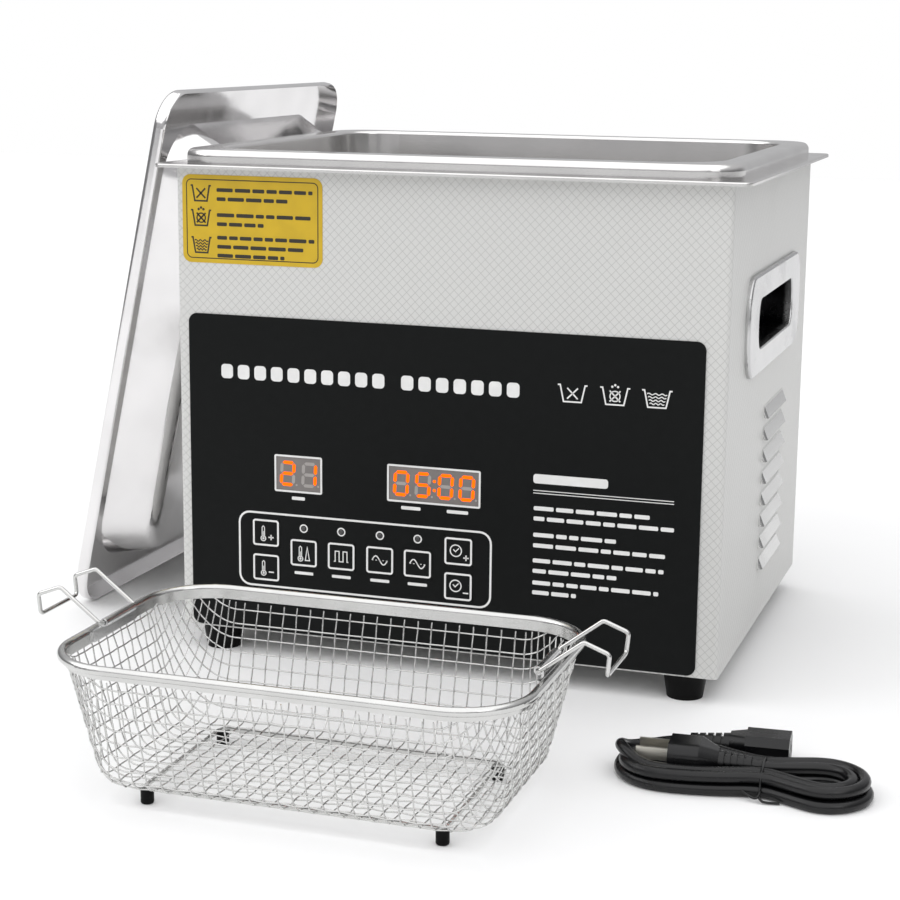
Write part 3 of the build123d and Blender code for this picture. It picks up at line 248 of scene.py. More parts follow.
def lozenge_group() -> bpy.types.NodeTree:
    """Build the rolled lozenge pattern of embossed sheet steel on upright walls.

    Returns:
        The group, with the output Ridge, 1 on a line and 0 in a field.
    """
    sockets = {"Vector": "Vector", "Pitch": "Float", "Line": "Float"}
    group = EffectGroup("rolled_lozenges", sockets, ("Ridge",))
    graph, given = group.graph, group.given
    parts = graph.add("ShaderNodeSeparateXYZ", {0: given["Vector"]}).outputs
    across = graph.math("ADD", parts["X"], parts["Y"])
    half = graph.math("MULTIPLY", given["Pitch"], 0.5)
    lines = []
    for operation in ("ADD", "SUBTRACT"):
        slope = graph.math(operation, across, parts["Z"])
        away = graph.math("DIVIDE", graph.math("PINGPONG", slope, half), given["Line"])
        lines.append(graph.remap(away, 0.0, 1.0, 1.0, 0.0))
    return group.close({"Ridge": graph.math("MAXIMUM", *lines)})


def track_group() -> bpy.types.NodeTree:
    """Build the copper tracks of a printed board.

    Returns:
        The group, with the output Track, 1 on a track.
    """
    group = EffectGroup("board_tracks", {"Vector": "Vector", "Scale": "Float"}, ("Track",))
    graph, given = group.graph, group.given
    cells = graph.add("ShaderNodeTexVoronoi", {"Vector": given["Vector"], "Scale": given["Scale"]},
                      distance="CHEBYCHEV", feature="F1")
    rings = graph.math("PINGPONG", cells.outputs["Distance"], 0.12)
    return group.close({"Track": graph.remap(rings, 0.05, 0.07, 0.0, 1.0)})


GRAIN = grain_group()
HANDLING = handling_group()
SPECKLE = speckle_group()
LOZENGES = lozenge_group()
TRACKS = track_group()


# ------------------------------------------------------------------------------ finishes
@dataclass(frozen=True)
class Finish:
    """What every finish has: a name, a colour and a base roughness."""

    name: str
    colour: Colour
    roughness: float = 0.4

    def material(self) -> bpy.types.Material:
        """Return this finish's material, made on first use."""
        found = bpy.data.materials.get(f"finish_{self.name}")
        return found or self.make()

    def start(self, **sockets: object) -> tuple[bpy.types.Material, Graph, bpy.types.Node, Socket]:
        """Make a material with a bare Principled BSDF.

        Args:
            sockets: Plain values for the shader, with underscores for spaces.

        Returns:
            The material, its graph, its shader and the object coordinates.
        """
        made = bpy.data.materials.new(f"finish_{self.name}")
        made.use_nodes = True
        made.diffuse_color = (*self.colour, 1.0)
        graph = Graph(made.node_tree)
        shader = made.node_tree.nodes["Principled BSDF"]
        shader.inputs["Base Color"].default_value = (*self.colour, 1.0)
        shader.inputs["Roughness"].default_value = self.roughness
        for name, value in sockets.items():
            shader.inputs[name.replace("_", " ")].default_value = value
        place = graph.add("ShaderNodeTexCoord").outputs["Object"]
        return made, graph, shader, place

    def make(self) -> bpy.types.Material:
        """Return a new material; each kind of finish says how."""
        raise NotImplementedError

    def shade(self, factor: float) -> Colour:
        """Return the finish's colour made lighter or darker by a factor."""
        return tuple(min(1.0, channel * factor) for channel in self.colour)


@dataclass(frozen=True)
class Metal(Finish):
    """Bare metal with a polishing grain and smears."""

    stock: Stock = Stock.EVEN
    grain_scale: float = 900.0
    grain_depth: float = 0.04
    smear: float = 0.06

    def make(self) -> bpy.types.Material:
        """Return the metal's material."""
        made, graph, shader, place = self.start(Metallic=1.0)
        grain = graph.add("ShaderNodeGroup", {"Vector": place, "Stretch": self.stock.value,
                                              "Scale": self.grain_scale}, node_tree=GRAIN)
        marks = graph.add("ShaderNodeGroup", {"Vector": place, "Scale": 24.0}, node_tree=HANDLING)
        tone = graph.remap(grain.outputs["Tone"], 0.3, 0.7, 0.0, 1.0)
        colour = graph.blend(tone, self.shade(0.93), self.colour)
        smeared = graph.math("MULTIPLY", marks.outputs["Smear"], self.smear)
        streaked = graph.math("MULTIPLY", grain.outputs["Height"], self.roughness * 0.5)
        rough = graph.math("ADD", graph.math("ADD", smeared, streaked), self.roughness * 0.75)
        bump = graph.add("ShaderNodeBump", {"Height": grain.outputs["Height"], "Strength": self.grain_depth,
                                            "Distance": 0.0002})
        graph.wire(shader, {"Base Color": colour, "Roughness": rough, "Normal": bump.outputs["Normal"]})
        return made


@dataclass(frozen=True)
class CupSteel(Metal):
    """Polished steel with painted shade: near-black colour inside a side grip, where the recess lies in
    shade.
    """

    mouth: float = 158.8 * MM
    # painted shade: near-black colour that stands in for the shade inside the grip's recess
    painted_grip_shade: Colour = (0.03, 0.03, 0.032)

    def make(self) -> bpy.types.Material:
        """Return the cup's material, with painted shade behind the mouth of the grip."""
        made = super().make()
        graph = Graph(made.node_tree)
        shader = made.node_tree.nodes["Principled BSDF"]
        polished = shader.inputs["Base Color"].links[0].from_socket
        across = graph.add("ShaderNodeSeparateXYZ", {0: graph.add("ShaderNodeTexCoord").outputs["Object"]})
        depth = graph.math("ABSOLUTE", across.outputs["X"])
        # painted shade mask: 1 deeper than the grip's mouth, where the recess lies in shade
        inside = graph.remap(depth, self.mouth - 2.5 * MM, self.mouth, 1.0, 0.0)
        graph.wire(shader, {"Base Color": graph.blend(inside, polished, self.painted_grip_shade)})
        return made


@dataclass(frozen=True)
class EmbossedSheet(Finish):
    """Pale sheet steel rolled with a lozenge pattern."""

    pitch: float = 5.0 * MM
    line: float = 0.34 * MM
    ink: float = 0.7
    line_shade: float = 0.55
    wall: float = 159.2 * MM
    polished: Colour = (0.62, 0.62, 0.61)

    def make(self) -> bpy.types.Material:
        """Return the embossed sheet's material."""
        made, graph, shader, place = self.start(Metallic=0.3)
        rolled = graph.add("ShaderNodeGroup", {"Vector": place, "Pitch": self.pitch, "Line": self.line},
                           node_tree=LOZENGES)
        marks = graph.add("ShaderNodeGroup", {"Vector": place, "Scale": 9.0}, node_tree=HANDLING)
        parts = graph.add("ShaderNodeSeparateXYZ", {0: place}).outputs
        raised = graph.remap(graph.math("ABSOLUTE", parts["X"]), self.wall, self.wall + 0.5 * MM, 0.0, 1.0)
        rolled_on = graph.math("MULTIPLY", rolled.outputs["Ridge"], graph.math("SUBTRACT", 1.0, raised))
        line = graph.math("MULTIPLY", rolled_on, self.ink)
        sheet = graph.blend(line, self.colour, self.shade(self.line_shade))
        colour = graph.blend(raised, sheet, self.polished)
        smear = graph.math("MULTIPLY", marks.outputs["Smear"], 0.06)
        rough = graph.math("ADD", smear, graph.remap(raised, 0.0, 1.0, self.roughness, 0.2))
        bump = graph.add("ShaderNodeBump", {"Height": rolled_on, "Strength": 0.5, "Distance": 0.0002})
        graph.wire(shader, {"Metallic": graph.remap(raised, 0.0, 1.0, 0.3, 1.0)})
        graph.wire(shader, {"Base Color": colour, "Roughness": rough, "Normal": bump.outputs["Normal"]})
        return made


@dataclass(frozen=True)
class Moulded(Finish):
    """Plastic, rubber, ceramic or lacquer with a faint skin."""

    skin_scale: float = 1400.0
    skin_depth: float = 0.12
    mottle: float = 0.12
    coat: float = 0.0
    specular: float = 0.5

    def make(self) -> bpy.types.Material:
        """Return the moulded material."""
        made, graph, shader, place = self.start(Coat_Weight=self.coat, Coat_Roughness=0.15,
                                                Specular_IOR_Level=self.specular)
        skin = graph.add("ShaderNodeGroup", {"Vector": place, "Scale": self.skin_scale}, node_tree=SPECKLE)
        marks = graph.add("ShaderNodeGroup", {"Vector": place, "Scale": 30.0}, node_tree=HANDLING)
        tone = graph.remap(skin.outputs["Tone"], 0.3, 0.7, 0.0, 1.0)
        colour = graph.blend(tone, self.shade(1.0 - self.mottle), self.shade(1.0 + self.mottle))
        worn = graph.math("MULTIPLY", marks.outputs["Smear"], 0.08)
        bump = graph.add("ShaderNodeBump", {"Height": skin.outputs["Height"], "Strength": self.skin_depth,
                                            "Distance": 0.0002})
        rough = graph.math("ADD", worn, self.roughness)
        graph.wire(shader, {"Base Color": colour, "Roughness": rough, "Normal": bump.outputs["Normal"]})
        return made


@dataclass(frozen=True)
class Lamp(Moulded):
    """A display segment or lens that glows."""

    glow: float = 1.0

    def make(self) -> bpy.types.Material:
        """Return the glowing material."""
        made = super().make()
        shader = made.node_tree.nodes["Principled BSDF"]
        shader.inputs["Emission Color"].default_value = (*self.colour, 1.0)
        shader.inputs["Emission Strength"].default_value = self.glow
        return made


@dataclass(frozen=True)
class PrintedBoard(Finish):
    """Green solder mask over copper tracks."""

    def make(self) -> bpy.types.Material:
        """Return the board's material."""
        made, graph, shader, place = self.start(Coat_Weight=0.4)
        tracks = graph.add("ShaderNodeGroup", {"Vector": place, "Scale": 70.0}, node_tree=TRACKS)
        colour = graph.blend(tracks.outputs["Track"], self.colour, self.shade(2.1))
        bump = graph.add("ShaderNodeBump", {"Height": tracks.outputs["Track"], "Strength": 0.3,
                                            "Distance": 0.0001})
        graph.wire(shader, {"Base Color": colour, "Normal": bump.outputs["Normal"]})
        return made


SHELL_SHEET = EmbossedSheet("embossed_sheet", (0.62, 0.62, 0.605), 0.42)
BATH_STEEL = Metal("bath_steel", (0.74, 0.73, 0.72), 0.16, Stock.EVEN, 700.0, 0.03)
LID_STEEL = Metal("lid_steel", (0.78, 0.77, 0.77), 0.12, Stock.ALONG_Z, 800.0, 0.02, 0.05)
# steel of the side grips, with painted shade inside their cups
GRIP_STEEL = CupSteel("grip_steel", (0.56, 0.56, 0.56), 0.24, Stock.EVEN, 900.0, 0.03, 0.08)
PLATE_STEEL = Metal("plate_steel", (0.74, 0.74, 0.74), 0.18, Stock.EVEN, 900.0, 0.03, 0.1)
BASE_STEEL = Metal("base_steel", (0.55, 0.55, 0.54), 0.38, Stock.ALONG_X)
WIRE_STEEL = Metal("basket_wire", (0.62, 0.62, 0.61), 0.2, Stock.EVEN, 1500.0, 0.02, 0.04)
SCREW_STEEL = Metal("screw_steel", (0.5, 0.5, 0.49), 0.3, Stock.EVEN)
DARK_STEEL = Metal("dark_steel", (0.16, 0.16, 0.17), 0.42, Stock.EVEN, 600.0, 0.1)
BRASS = Metal("brass", (0.72, 0.5, 0.2), 0.28, Stock.ALONG_Y)
PLATED_BRASS = Metal("plated_brass", (0.9, 0.87, 0.78), 0.34, Stock.ALONG_X, 900.0, 0.03)
COPPER = Metal("copper", (0.75, 0.36, 0.2), 0.3)
ALUMINIUM = Metal("aluminium", (0.68, 0.69, 0.7), 0.34, Stock.ALONG_Z, 700.0, 0.08)
PANEL_FILM = Moulded("panel_film", (0.0055, 0.0062, 0.0062), 0.42, 2600.0, 0.05, 0.05, 0.0, 0.1)
KEY_FILM = Moulded("key_film", (0.0062, 0.0070, 0.0070), 0.4, 2200.0, 0.08, 0.05, 0.0, 0.1)
WHITE_INK = Moulded("white_ink", (0.74, 0.74, 0.73), 0.5, 2000.0, 0.05, 0.03)
BLACK_INK = Moulded("black_ink", (0.02, 0.016, 0.008), 0.5, 2000.0, 0.05, 0.03)
YELLOW_FILM = Moulded("yellow_film", (0.56, 0.37, 0.008), 0.38, 1200.0, 0.04, 0.05)
WINDOW_GREY = Moulded("window_grey", (0.17, 0.155, 0.148), 0.3, 900.0, 0.05, 0.06, 0.2)
DIM_SEGMENT = Moulded("dim_segment", (0.33, 0.31, 0.295), 0.4, 1500.0, 0.05, 0.04)
LIT_SEGMENT = Lamp("lit_segment", (1.0, 0.12, 0.0), 0.4, 1500.0, 0.05, 0.02, 0.0, 0.1, 0.9)
LENS = Moulded("indicator_lens", (0.03, 0.03, 0.03), 0.15, 900.0, 0.03, 0.05, 0.6)
BLACK_PLASTIC = Moulded("black_plastic", (0.018, 0.018, 0.019), 0.38, 1500.0, 0.15, 0.1)
FOOT_RUBBER = Moulded("foot_rubber", (0.003, 0.003, 0.003), 0.42, 900.0, 0.2, 0.15, 0.0, 0.1)
CORD_RUBBER = Moulded("cord_jacket", (0.0025, 0.0025, 0.003), 0.26, 1100.0, 0.1, 0.1, 0.0, 0.4)
ROCKER_RED = Moulded("rocker_red", (0.55, 0.02, 0.015), 0.25, 1200.0, 0.05, 0.08, 0.4)
CERAMIC = Moulded("piezo_ceramic", (0.34, 0.28, 0.2), 0.5, 1600.0, 0.1, 0.08)
HEATER_RUBBER = Moulded("heater_rubber", (0.42, 0.09, 0.03), 0.6, 700.0, 0.3, 0.12)
SLEEVE = Moulded("capacitor_sleeve", (0.03, 0.045, 0.14), 0.32, 900.0, 0.05, 0.1, 0.3)
BOARD = PrintedBoard("printed_board", (0.012, 0.11, 0.045), 0.3)
FLOOR_PAPER = Moulded("floor_paper", (0.9, 0.9, 0.9), 0.6, 60.0, 0.0, 0.006)


# --------------------------------------------------------------------------- mesh helpers
def dress(finish: Finish, *nodes: str) -> None:
    """Give carried-over frame nodes one finish.

    Args:
        finish: The finish that the nodes get.
        nodes: Names of frame nodes.
    """
    for node in nodes:
        mesh = frame["nodes"][node].data
        mesh.materials.clear()
        mesh.materials.append(finish.material())
        log.info("%s wears %s", node, finish.name)


def settle(piece: bpy.types.Object, finish: Finish, body: str) -> bpy.types.Object:
    """Link a finished piece, dress it and let it ride.

    Args:
        piece: The object, in place in the frame.
        finish: The finish of its material.
        body: The frame body that it moves with.

    Returns:
        The same object.
    """
    bpy.context.scene.collection.objects.link(piece)
    piece.data.materials.append(finish.material())
    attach(piece, body)
    log.info("%s rides on %s", piece.name, body)
    return piece


def round_curve(name: str, radius: float, rings: int) -> bpy.types.Curve:
    """Return an empty curve that will be a round wire or cord.

    Args:
        name: The curve's name.
        radius: Radius of the wire.
        rings: How finely its roundness is divided.

    Returns:
        The curve, with closed ends and no spline yet.
    """
    curve = bpy.data.curves.new(name, "CURVE")
    curve.dimensions = "3D"
    curve.bevel_depth = radius
    curve.bevel_resolution = rings
    curve.use_fill_caps = True
    return curve


def thread(curve: bpy.types.Curve, points: list[Vector], kind: str) -> None:
    """Add one spline to a curve.

    Args:
        curve: The curve that it is added to.
        points: Its points, in metres.
        kind: POLY for straight steps or NURBS for a smooth line.
    """
    spline = curve.splines.new(kind)
    spline.points.add(len(points) - 1)
    for target, spot in zip(spline.points, points):
        target.co = (*spot, 1.0)
    if kind == "NURBS":
        spline.order_u = 3
        spline.use_endpoint_u = True


def ribbon_edges(points: list[Flat], width: float, closed: bool) -> tuple[list[Vector], list[Vector]]:
    """Offset a line to both sides, with mitred corners.

    Args:
        points: The line's points.
        width: Full width of the ribbon.
        closed: Whether the last point joins the first.

    Returns:
        The left and the right points.
    """
    spots = [Vector(point) for point in points]
    count = len(spots)
    left, right = [], []
    for index, spot in enumerate(spots):
        before = spots[index - 1] if closed or index else None
        after = spots[(index + 1) % count] if closed or index < count - 1 else None
        arriving = (spot - before).normalized() if before is not None else (after - spot).normalized()
        leaving = (after - spot).normalized() if after is not None else arriving
        normal = Vector((-arriving.y - leaving.y, arriving.x + leaving.x))
        normal = normal.normalized() if normal.length > 1e-6 else Vector((-arriving.y, arriving.x))
        reach = width / 2 / max(0.35, normal.dot(Vector((-arriving.y, arriving.x))))
        left.append(spot + normal * reach)
        right.append(spot - normal * reach)
    return left, right


def rounded_frame(x: float, z: float, width: float, height: float, corner: float) -> list[Flat]:
    """Return the outline of a rectangle with round corners.

    Args:
        x: Middle across.
        z: Middle up.
        width: Full width.
        height: Full height.
        corner: Corner radius.

    Returns:
        The outline's points, anticlockwise.
    """
    points = []
    for quarter, (side, rise) in enumerate(((1, 1), (-1, 1), (-1, -1), (1, -1))):
        for step in range(7):
            angle = math.pi / 2 * (quarter + step / 6)
            points.append((x + side * (width / 2 - corner) + corner * math.cos(angle),
                           z + rise * (height / 2 - corner) + corner * math.sin(angle)))
    return points


@dataclass
class FrontPrint:
    """Flat ink shapes on a wall that faces the front, drawn in millimetres."""

    face_y: float
    lift: float = 0.07
    shapes: list[list[Flat]] = field(default_factory=list)
    strips: list[tuple[list[Vector], list[Vector], bool]] = field(default_factory=list)

    def fill(self, outline: list[Flat]) -> None:
        """Add a solid shape with this outline."""
        self.shapes.append(outline)

    def stroke(self, points: list[Flat], width: float, closed: bool = False) -> None:
        """Add a line of constant width through the points."""
        self.strips.append((*ribbon_edges(points, width, closed), closed))

    def frame(self, x: float, z: float, width: float, height: float, corner: float, line: float) -> None:
        """Add the outline of a round-cornered rectangle, drawn inside its size."""
        self.stroke(rounded_frame(x, z, width - line, height - line, corner), line, True)

    def bar(self, x: float, z: float, width: float, height: float) -> None:
        """Add a solid bar with softened corners around a middle."""
        self.fill(rounded_frame(x, z, width, height, min(width, height) * 0.3))

    def ring(self, x: float, z: float, radius: float, line: float) -> None:
        """Add a circle drawn with a line."""
        turn = 2 * math.pi / 28
        self.stroke([(x + radius * math.cos(step * turn), z + radius * math.sin(step * turn))
                     for step in range(28)], line, True)

    def disc(self, x: float, z: float, radius: float) -> None:
        """Add a solid disc."""
        turn = 2 * math.pi / 20
        self.fill([(x + radius * math.cos(step * turn), z + radius * math.sin(step * turn))
                   for step in range(20)])

    def wave(self, x: float, z: float, length: float, rise: float, cycles: float, line: float) -> None:
        """Add a sine wave drawn from its left end at x."""
        steps = int(12 * cycles) + 1
        self.stroke([(x + length * step / steps, z + rise * math.sin(2 * math.pi * cycles * step / steps))
                     for step in range(steps + 1)], line)

    def words(self, x: float, z: float, width: float, height: float, seed: int) -> None:
        """Add a row of plain bars as long as words, which stands for one line of small print.

        Args:
            x: Left end of the row.
            z: Middle of the row.
            width: Length of the row.
            height: Height of the bars.
            seed: Seed for the lengths of the bars.
        """
        lengths = random.Random(seed)
        start = x
        while start < x + width - height:
            word = min(lengths.uniform(2.2, 5.2) * height, x + width - start)
            self.bar(start + word / 2, z, word, height)
            start += word + 0.6 * height

    def build(self, name: str, finish: Finish, body: str, slot: Slot) -> bpy.types.Object:
        """Turn the shapes into one thin solid piece.

        Args:
            name: The piece's name.
            finish: The ink's finish.
            body: The frame body that it rides on.
            slot: The record's material slot; not used.

        Returns:
            The piece.
        """
        mesh = bmesh.new()
        y = (self.face_y - self.lift) * MM
        for outline in self.shapes:
            mesh.faces.new([mesh.verts.new((x * MM, y, z * MM)) for x, z in outline])
        for left, right, closed in self.strips:
            sides = [[mesh.verts.new((spot.x * MM, y, spot.y * MM)) for spot in side]
                     for side in (left, right)]
            for index in range(len(left) if closed else len(left) - 1):
                after = (index + 1) % len(left)
                mesh.faces.new((sides[0][index], sides[0][after], sides[1][after], sides[1][index]))
        for face in mesh.faces:
            face.normal_update()
            if face.normal.y > 0:
                face.normal_flip()
        data = bpy.data.meshes.new(name)
        mesh.to_mesh(data)
        mesh.free()
        piece = bpy.data.objects.new(name, data)
        thick = piece.modifiers.new("ink_thickness", "SOLIDIFY")
        thick.thickness = (self.lift + 0.03) * MM
        thick.offset = -1.0
        return settle(piece, finish, body)


@dataclass
class TubSign:
    """A small picture of the bath, seen from the side, for a front print."""

    width: float
    height: float
    line: float

    def tub(self, art: FrontPrint, x: float, z: float) -> None:
        """Draw the open tub around a middle."""
        half, rise = self.width / 2, self.height / 2
        art.stroke([(x - half, z + rise), (x - half * 0.84, z + rise), (x - half * 0.6, z - rise),
                    (x + half * 0.6, z - rise), (x + half * 0.84, z + rise), (x + half, z + rise)], self.line)

    def crossed(self, art: FrontPrint, x: float, z: float) -> None:
        """Draw the tub with a cross in it."""
        self.tub(art, x, z)
        reach = self.height * 0.32
        for way in (-1, 1):
            art.stroke([(x - reach, z + way * reach), (x + reach, z - way * reach)], self.line)

    def heated(self, art: FrontPrint, x: float, z: float) -> None:
        """Draw the tub with a crossed ring and three drops above it."""
        self.crossed(art, x, z)
        art.ring(x, z, self.height * 0.3, self.line * 0.8)
        for step in (-1, 0, 1):
            rise = self.height * (0.66 - 0.1 * abs(step))
            art.disc(x + step * self.height * 0.17, z + rise, self.line * 0.8)

    def filled(self, art: FrontPrint, x: float, z: float) -> None:
        """Draw the tub with four water lines."""
        self.tub(art, x, z)
        for row in range(4):
            length = self.width * (0.66 - 0.06 * row)
            art.wave(x - length / 2, z + self.height * (0.28 - 0.19 * row), length, self.line * 0.5, 3,
                     self.line * 0.7)


# -------------------------------------------------------------------------- sub-assemblies
@dataclass
class Housing:
    """The wrapped shell, its base, feet, caution plate and side fittings."""

    plate_left: float = -155.0
    plate_right: float = -70.0
    plate_low: float = 228.5
    plate_high: float = 278.0
    plate_thick: float = 0.25
    plate_corner: float = 5.0
    border_inset: float = 2.4

    def dress(self) -> None:
        """Give the shell and what is fixed to it their finishes."""
        dress(SHELL_SHEET, "housing_shell")
        dress(BASE_STEEL, "base_plate")
        dress(FOOT_RUBBER, "rubber_feet")
        dress(SCREW_STEEL, "foot_screws", "board_standoffs")
        dress(BATH_STEEL, "tank")
        dress(GRIP_STEEL, "handle_cup_right", "handle_cup_left")

    def caution_plate(self) -> None:
        """Build the yellow plate with its border, tub signs and rows of plain bars."""
        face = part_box("housing_shell")[0].y / MM
        x, z = (self.plate_left + self.plate_right) / 2, (self.plate_low + self.plate_high) / 2
        width, height = self.plate_right - self.plate_left, self.plate_high - self.plate_low
        plate = FrontPrint(face, self.plate_thick)
        plate.fill(rounded_frame(x, z, width, height, self.plate_corner))
        plate.build("caution_plate", YELLOW_FILM, "housing", Slot.PANEL_FILM)
        ink = FrontPrint(face - self.plate_thick, 0.05)
        inner = 2 * self.border_inset
        ink.frame(x, z, width - inner, height - inner, self.plate_corner - 2, 0.55)
        sign = TubSign(12.5, 8.6, 0.95)
        sign_x = self.plate_left + 11.5
        sign.crossed(ink, sign_x, self.plate_high - 10.4)
        sign.heated(ink, sign_x, self.plate_high - 24.2)
        sign.filled(ink, sign_x, self.plate_high - 39.5)
        rows = ((8.3, 58.0), (13.4, 43.0), (22.3, 58.0), (27.4, 28.5), (35.0, 59.0), (40.1, 53.5),
                (45.1, 41.0))
        for seed, (drop, length) in enumerate(rows):
            ink.words(self.plate_left + 21.2, self.plate_high - drop, length, 2.1, seed)
        ink.build("caution_plate_ink", BLACK_INK, "housing", Slot.PANEL_FILM)


@dataclass
class ControlPanel:
    """The black front panel with its print, keys, displays and lamps."""

    title_left: float = -132.0
    title_z: float = 167.2
    title_height: float = 8.2
    block_width: float = 7.2
    block_gap: float = 3.0
    title_groups: tuple[int, ...] = (10, 7)
    key_line: float = 1.1
    digit_height: float = 12.8
    digit_width: float = 7.4
    segment: float = 1.9
    slant: float = 0.05

    def keys(self) -> list[str]:
        """Return the names of the key nodes, in order."""
        return sorted(node for node in frame["nodes"]
                      if node.startswith("key_") and node != "key_switches")

    def panel_face(self) -> float:
        """Return the panel's face along Y, in millimetres."""
        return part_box("control_panel")[0].y / MM

    def middle(self, node: str) -> tuple[float, float, float, float]:
        """Return a frame node's middle x and z, width and height, in millimetres."""
        low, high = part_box(node)
        return ((low.x + high.x) / 2 / MM, (low.z + high.z) / 2 / MM,
                (high.x - low.x) / MM, (high.z - low.z) / MM)

    def dress(self) -> None:
        """Give the panel, keys, windows and lamps their finishes."""
        dress(PANEL_FILM, "control_panel")
        dress(WINDOW_GREY, "display_temperature", "display_time")
        dress(LENS, "indicator_lights")
        dress(BOARD, "control_board")
        dress(BLACK_PLASTIC, "key_switches")
        dress(KEY_FILM, *self.keys())

    def print_panel(self) -> None:
        """Print the title blocks, signs, frames, rings and small rows on the panel."""
        ink = FrontPrint(self.panel_face())
        start = self.title_left
        for group in self.title_groups:
            for _ in range(group):
                ink.bar(start + self.block_width / 2, self.title_z, self.block_width, self.title_height)
                start += self.block_width + self.block_gap
            start += self.block_width * 0.95
        sign = TubSign(16.5, 9.2, 0.8)
        for draw, x in ((sign.crossed, 75.0), (sign.heated, 98.5), (sign.filled, 121.5)):
            draw(ink, x, 167.5)
        ink.bar(75.0, 119.0, 42.0, 5.2)
        for z in (112.4, 110.9):
            ink.bar(93.3, z, 78.5, 0.45)
        rows = ((102.4, 65.0), (96.6, 78.5), (87.4, 47.0), (81.4, 76.0), (72.8, 73.5), (66.9, 47.5),
                (60.2, 71.0), (54.6, 25.0))
        for seed, (z, length) in enumerate(rows):
            ink.words(54.5, z, length, 2.3, seed + 20)
        ink.frame(-45.75, 64.4, 153.1, 44.4, 6.5, 1.15)
        for x in (-81.8, -58.8, -35.4, -12.8):
            ink.ring(x, 78.8, 2.15, 0.75)
            ink.bar(x, 52.4, 11.5, 1.7)
        for window in ("display_temperature", "display_time"):
            x, z, width, height = self.middle(window)
            ink.frame(x, z, width + 2.2, height + 2.2, 0.6, 1.1)
        for x, width in ((-85.0, 8.0), (-17.0, 11.5), (10.5, 12.5)):
            ink.bar(x, 96.2, width, 1.9)
        ink.build("panel_print", WHITE_INK, "housing", Slot.PANEL_FILM)

    def thermometer(self, ink: FrontPrint, x: float, z: float) -> None:
        """Draw a thermometer with its bulb at the given place."""
        ink.ring(x, z, 1.45, 0.6)
        ink.disc(x, z, 0.7)
        ink.stroke([(x - 0.75, z + 1.3), (x - 0.75, z + 6.6), (x, z + 7.3), (x + 0.75, z + 6.6),
                    (x + 0.75, z + 1.3)], 0.5)
        ink.stroke([(x, z), (x, z + 4.2)], 0.45)

    def sign(self, ink: FrontPrint, x: float, z: float, plus: bool) -> None:
        """Draw a plus or a minus around a middle."""
        ink.stroke([(x - 1.6, z), (x + 1.6, z)], 0.75)
        if plus:
            ink.stroke([(x, z - 1.6), (x, z + 1.6)], 0.75)

    def clock(self, ink: FrontPrint, x: float, z: float) -> None:
        """Draw a clock face with its hands."""
        ink.ring(x, z, 3.3, 0.65)
        ink.stroke([(x - 1.5, z + 0.7), (x - 0.2, z - 0.6), (x + 1.8, z + 1.5)], 0.6)

    def key_print(self, node: str) -> None:
        """Print one key's outline and sign, which move with the key.

        Args:
            node: The key's frame node.
        """
        x, z, _, _ = self.middle(node)
        ink = FrontPrint(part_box(node)[0].y / MM, 0.05)
        ink.frame(x, z, 16.2, 15.6, 1.2, self.key_line)
        if "temperature" in node:
            self.thermometer(ink, x - 1.6, z - 3.4)
            self.sign(ink, x + 3.2, z - 2.6, node.endswith("up"))
        elif "time" in node:
            self.clock(ink, x - 1.4, z + 0.4)
            self.sign(ink, x + 4.6, z - 3.4, node.endswith("up"))
        elif node == "key_heating":
            self.thermometer(ink, x - 2.0, z - 3.4)
            ink.stroke([(x + 1.0, z - 4.2), (x + 2.2, z + 3.6), (x + 3.6, z - 4.2)], 0.6, True)
        elif node == "key_degas":
            edges = [(x - 4.4, z - 3)]
            for step in range(4):
                edge = x - 3.6 + step * 2.4
                level = 3 if step % 2 == 0 else -3
                edges += [(edge, z - level), (edge, z + level)]
            ink.stroke([*edges, (x + 4.4, z - 3)], 0.6)
        else:
            ink.wave(x - 4.6, z, 9.2, 2.5, 1.0, 0.65)
            for step in range(5):
                ink.bar(x - 4.2 + step * 2.1, z, 0.9, 0.4)
        ink.build(f"{node}_print", WHITE_INK, frame["nodes"][node]["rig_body"], Slot.KEY_FILM)

    def digit(self, lit: FrontPrint, dim: FrontPrint, x: float, z: float, on: str) -> None:
        """Draw one seven-bar figure.

        Args:
            lit: Print that takes the glowing bars.
            dim: Print that takes the dark bars.
            x: Middle across.
            z: Middle up.
            on: Letters a to g of the bars that glow.
        """
        w, h, s = self.digit_width / 2, self.digit_height / 2, self.segment / 2
        ends = {"a": (-w, h, w, h), "b": (w, h, w, 0), "c": (w, 0, w, -h), "d": (-w, -h, w, -h),
                "e": (-w, 0, -w, -h), "f": (-w, h, -w, 0), "g": (-w, 0, w, 0)}
        for name, (x0, z0, x1, z1) in ends.items():
            away = Vector((x1 - x0, z1 - z0))
            along = away.normalized()
            side = Vector((-along.y, along.x)) * s
            start, end = Vector((x0, z0)) + along * 0.35, Vector((x1, z1)) - along * 0.35
            corners = (start, start + along * s + side, end - along * s + side, end,
                       end - along * s - side, start + along * s - side)
            outline = [(x + spot.x + self.slant * spot.y, z + spot.y) for spot in corners]
            (lit if name in on else dim).fill(outline)

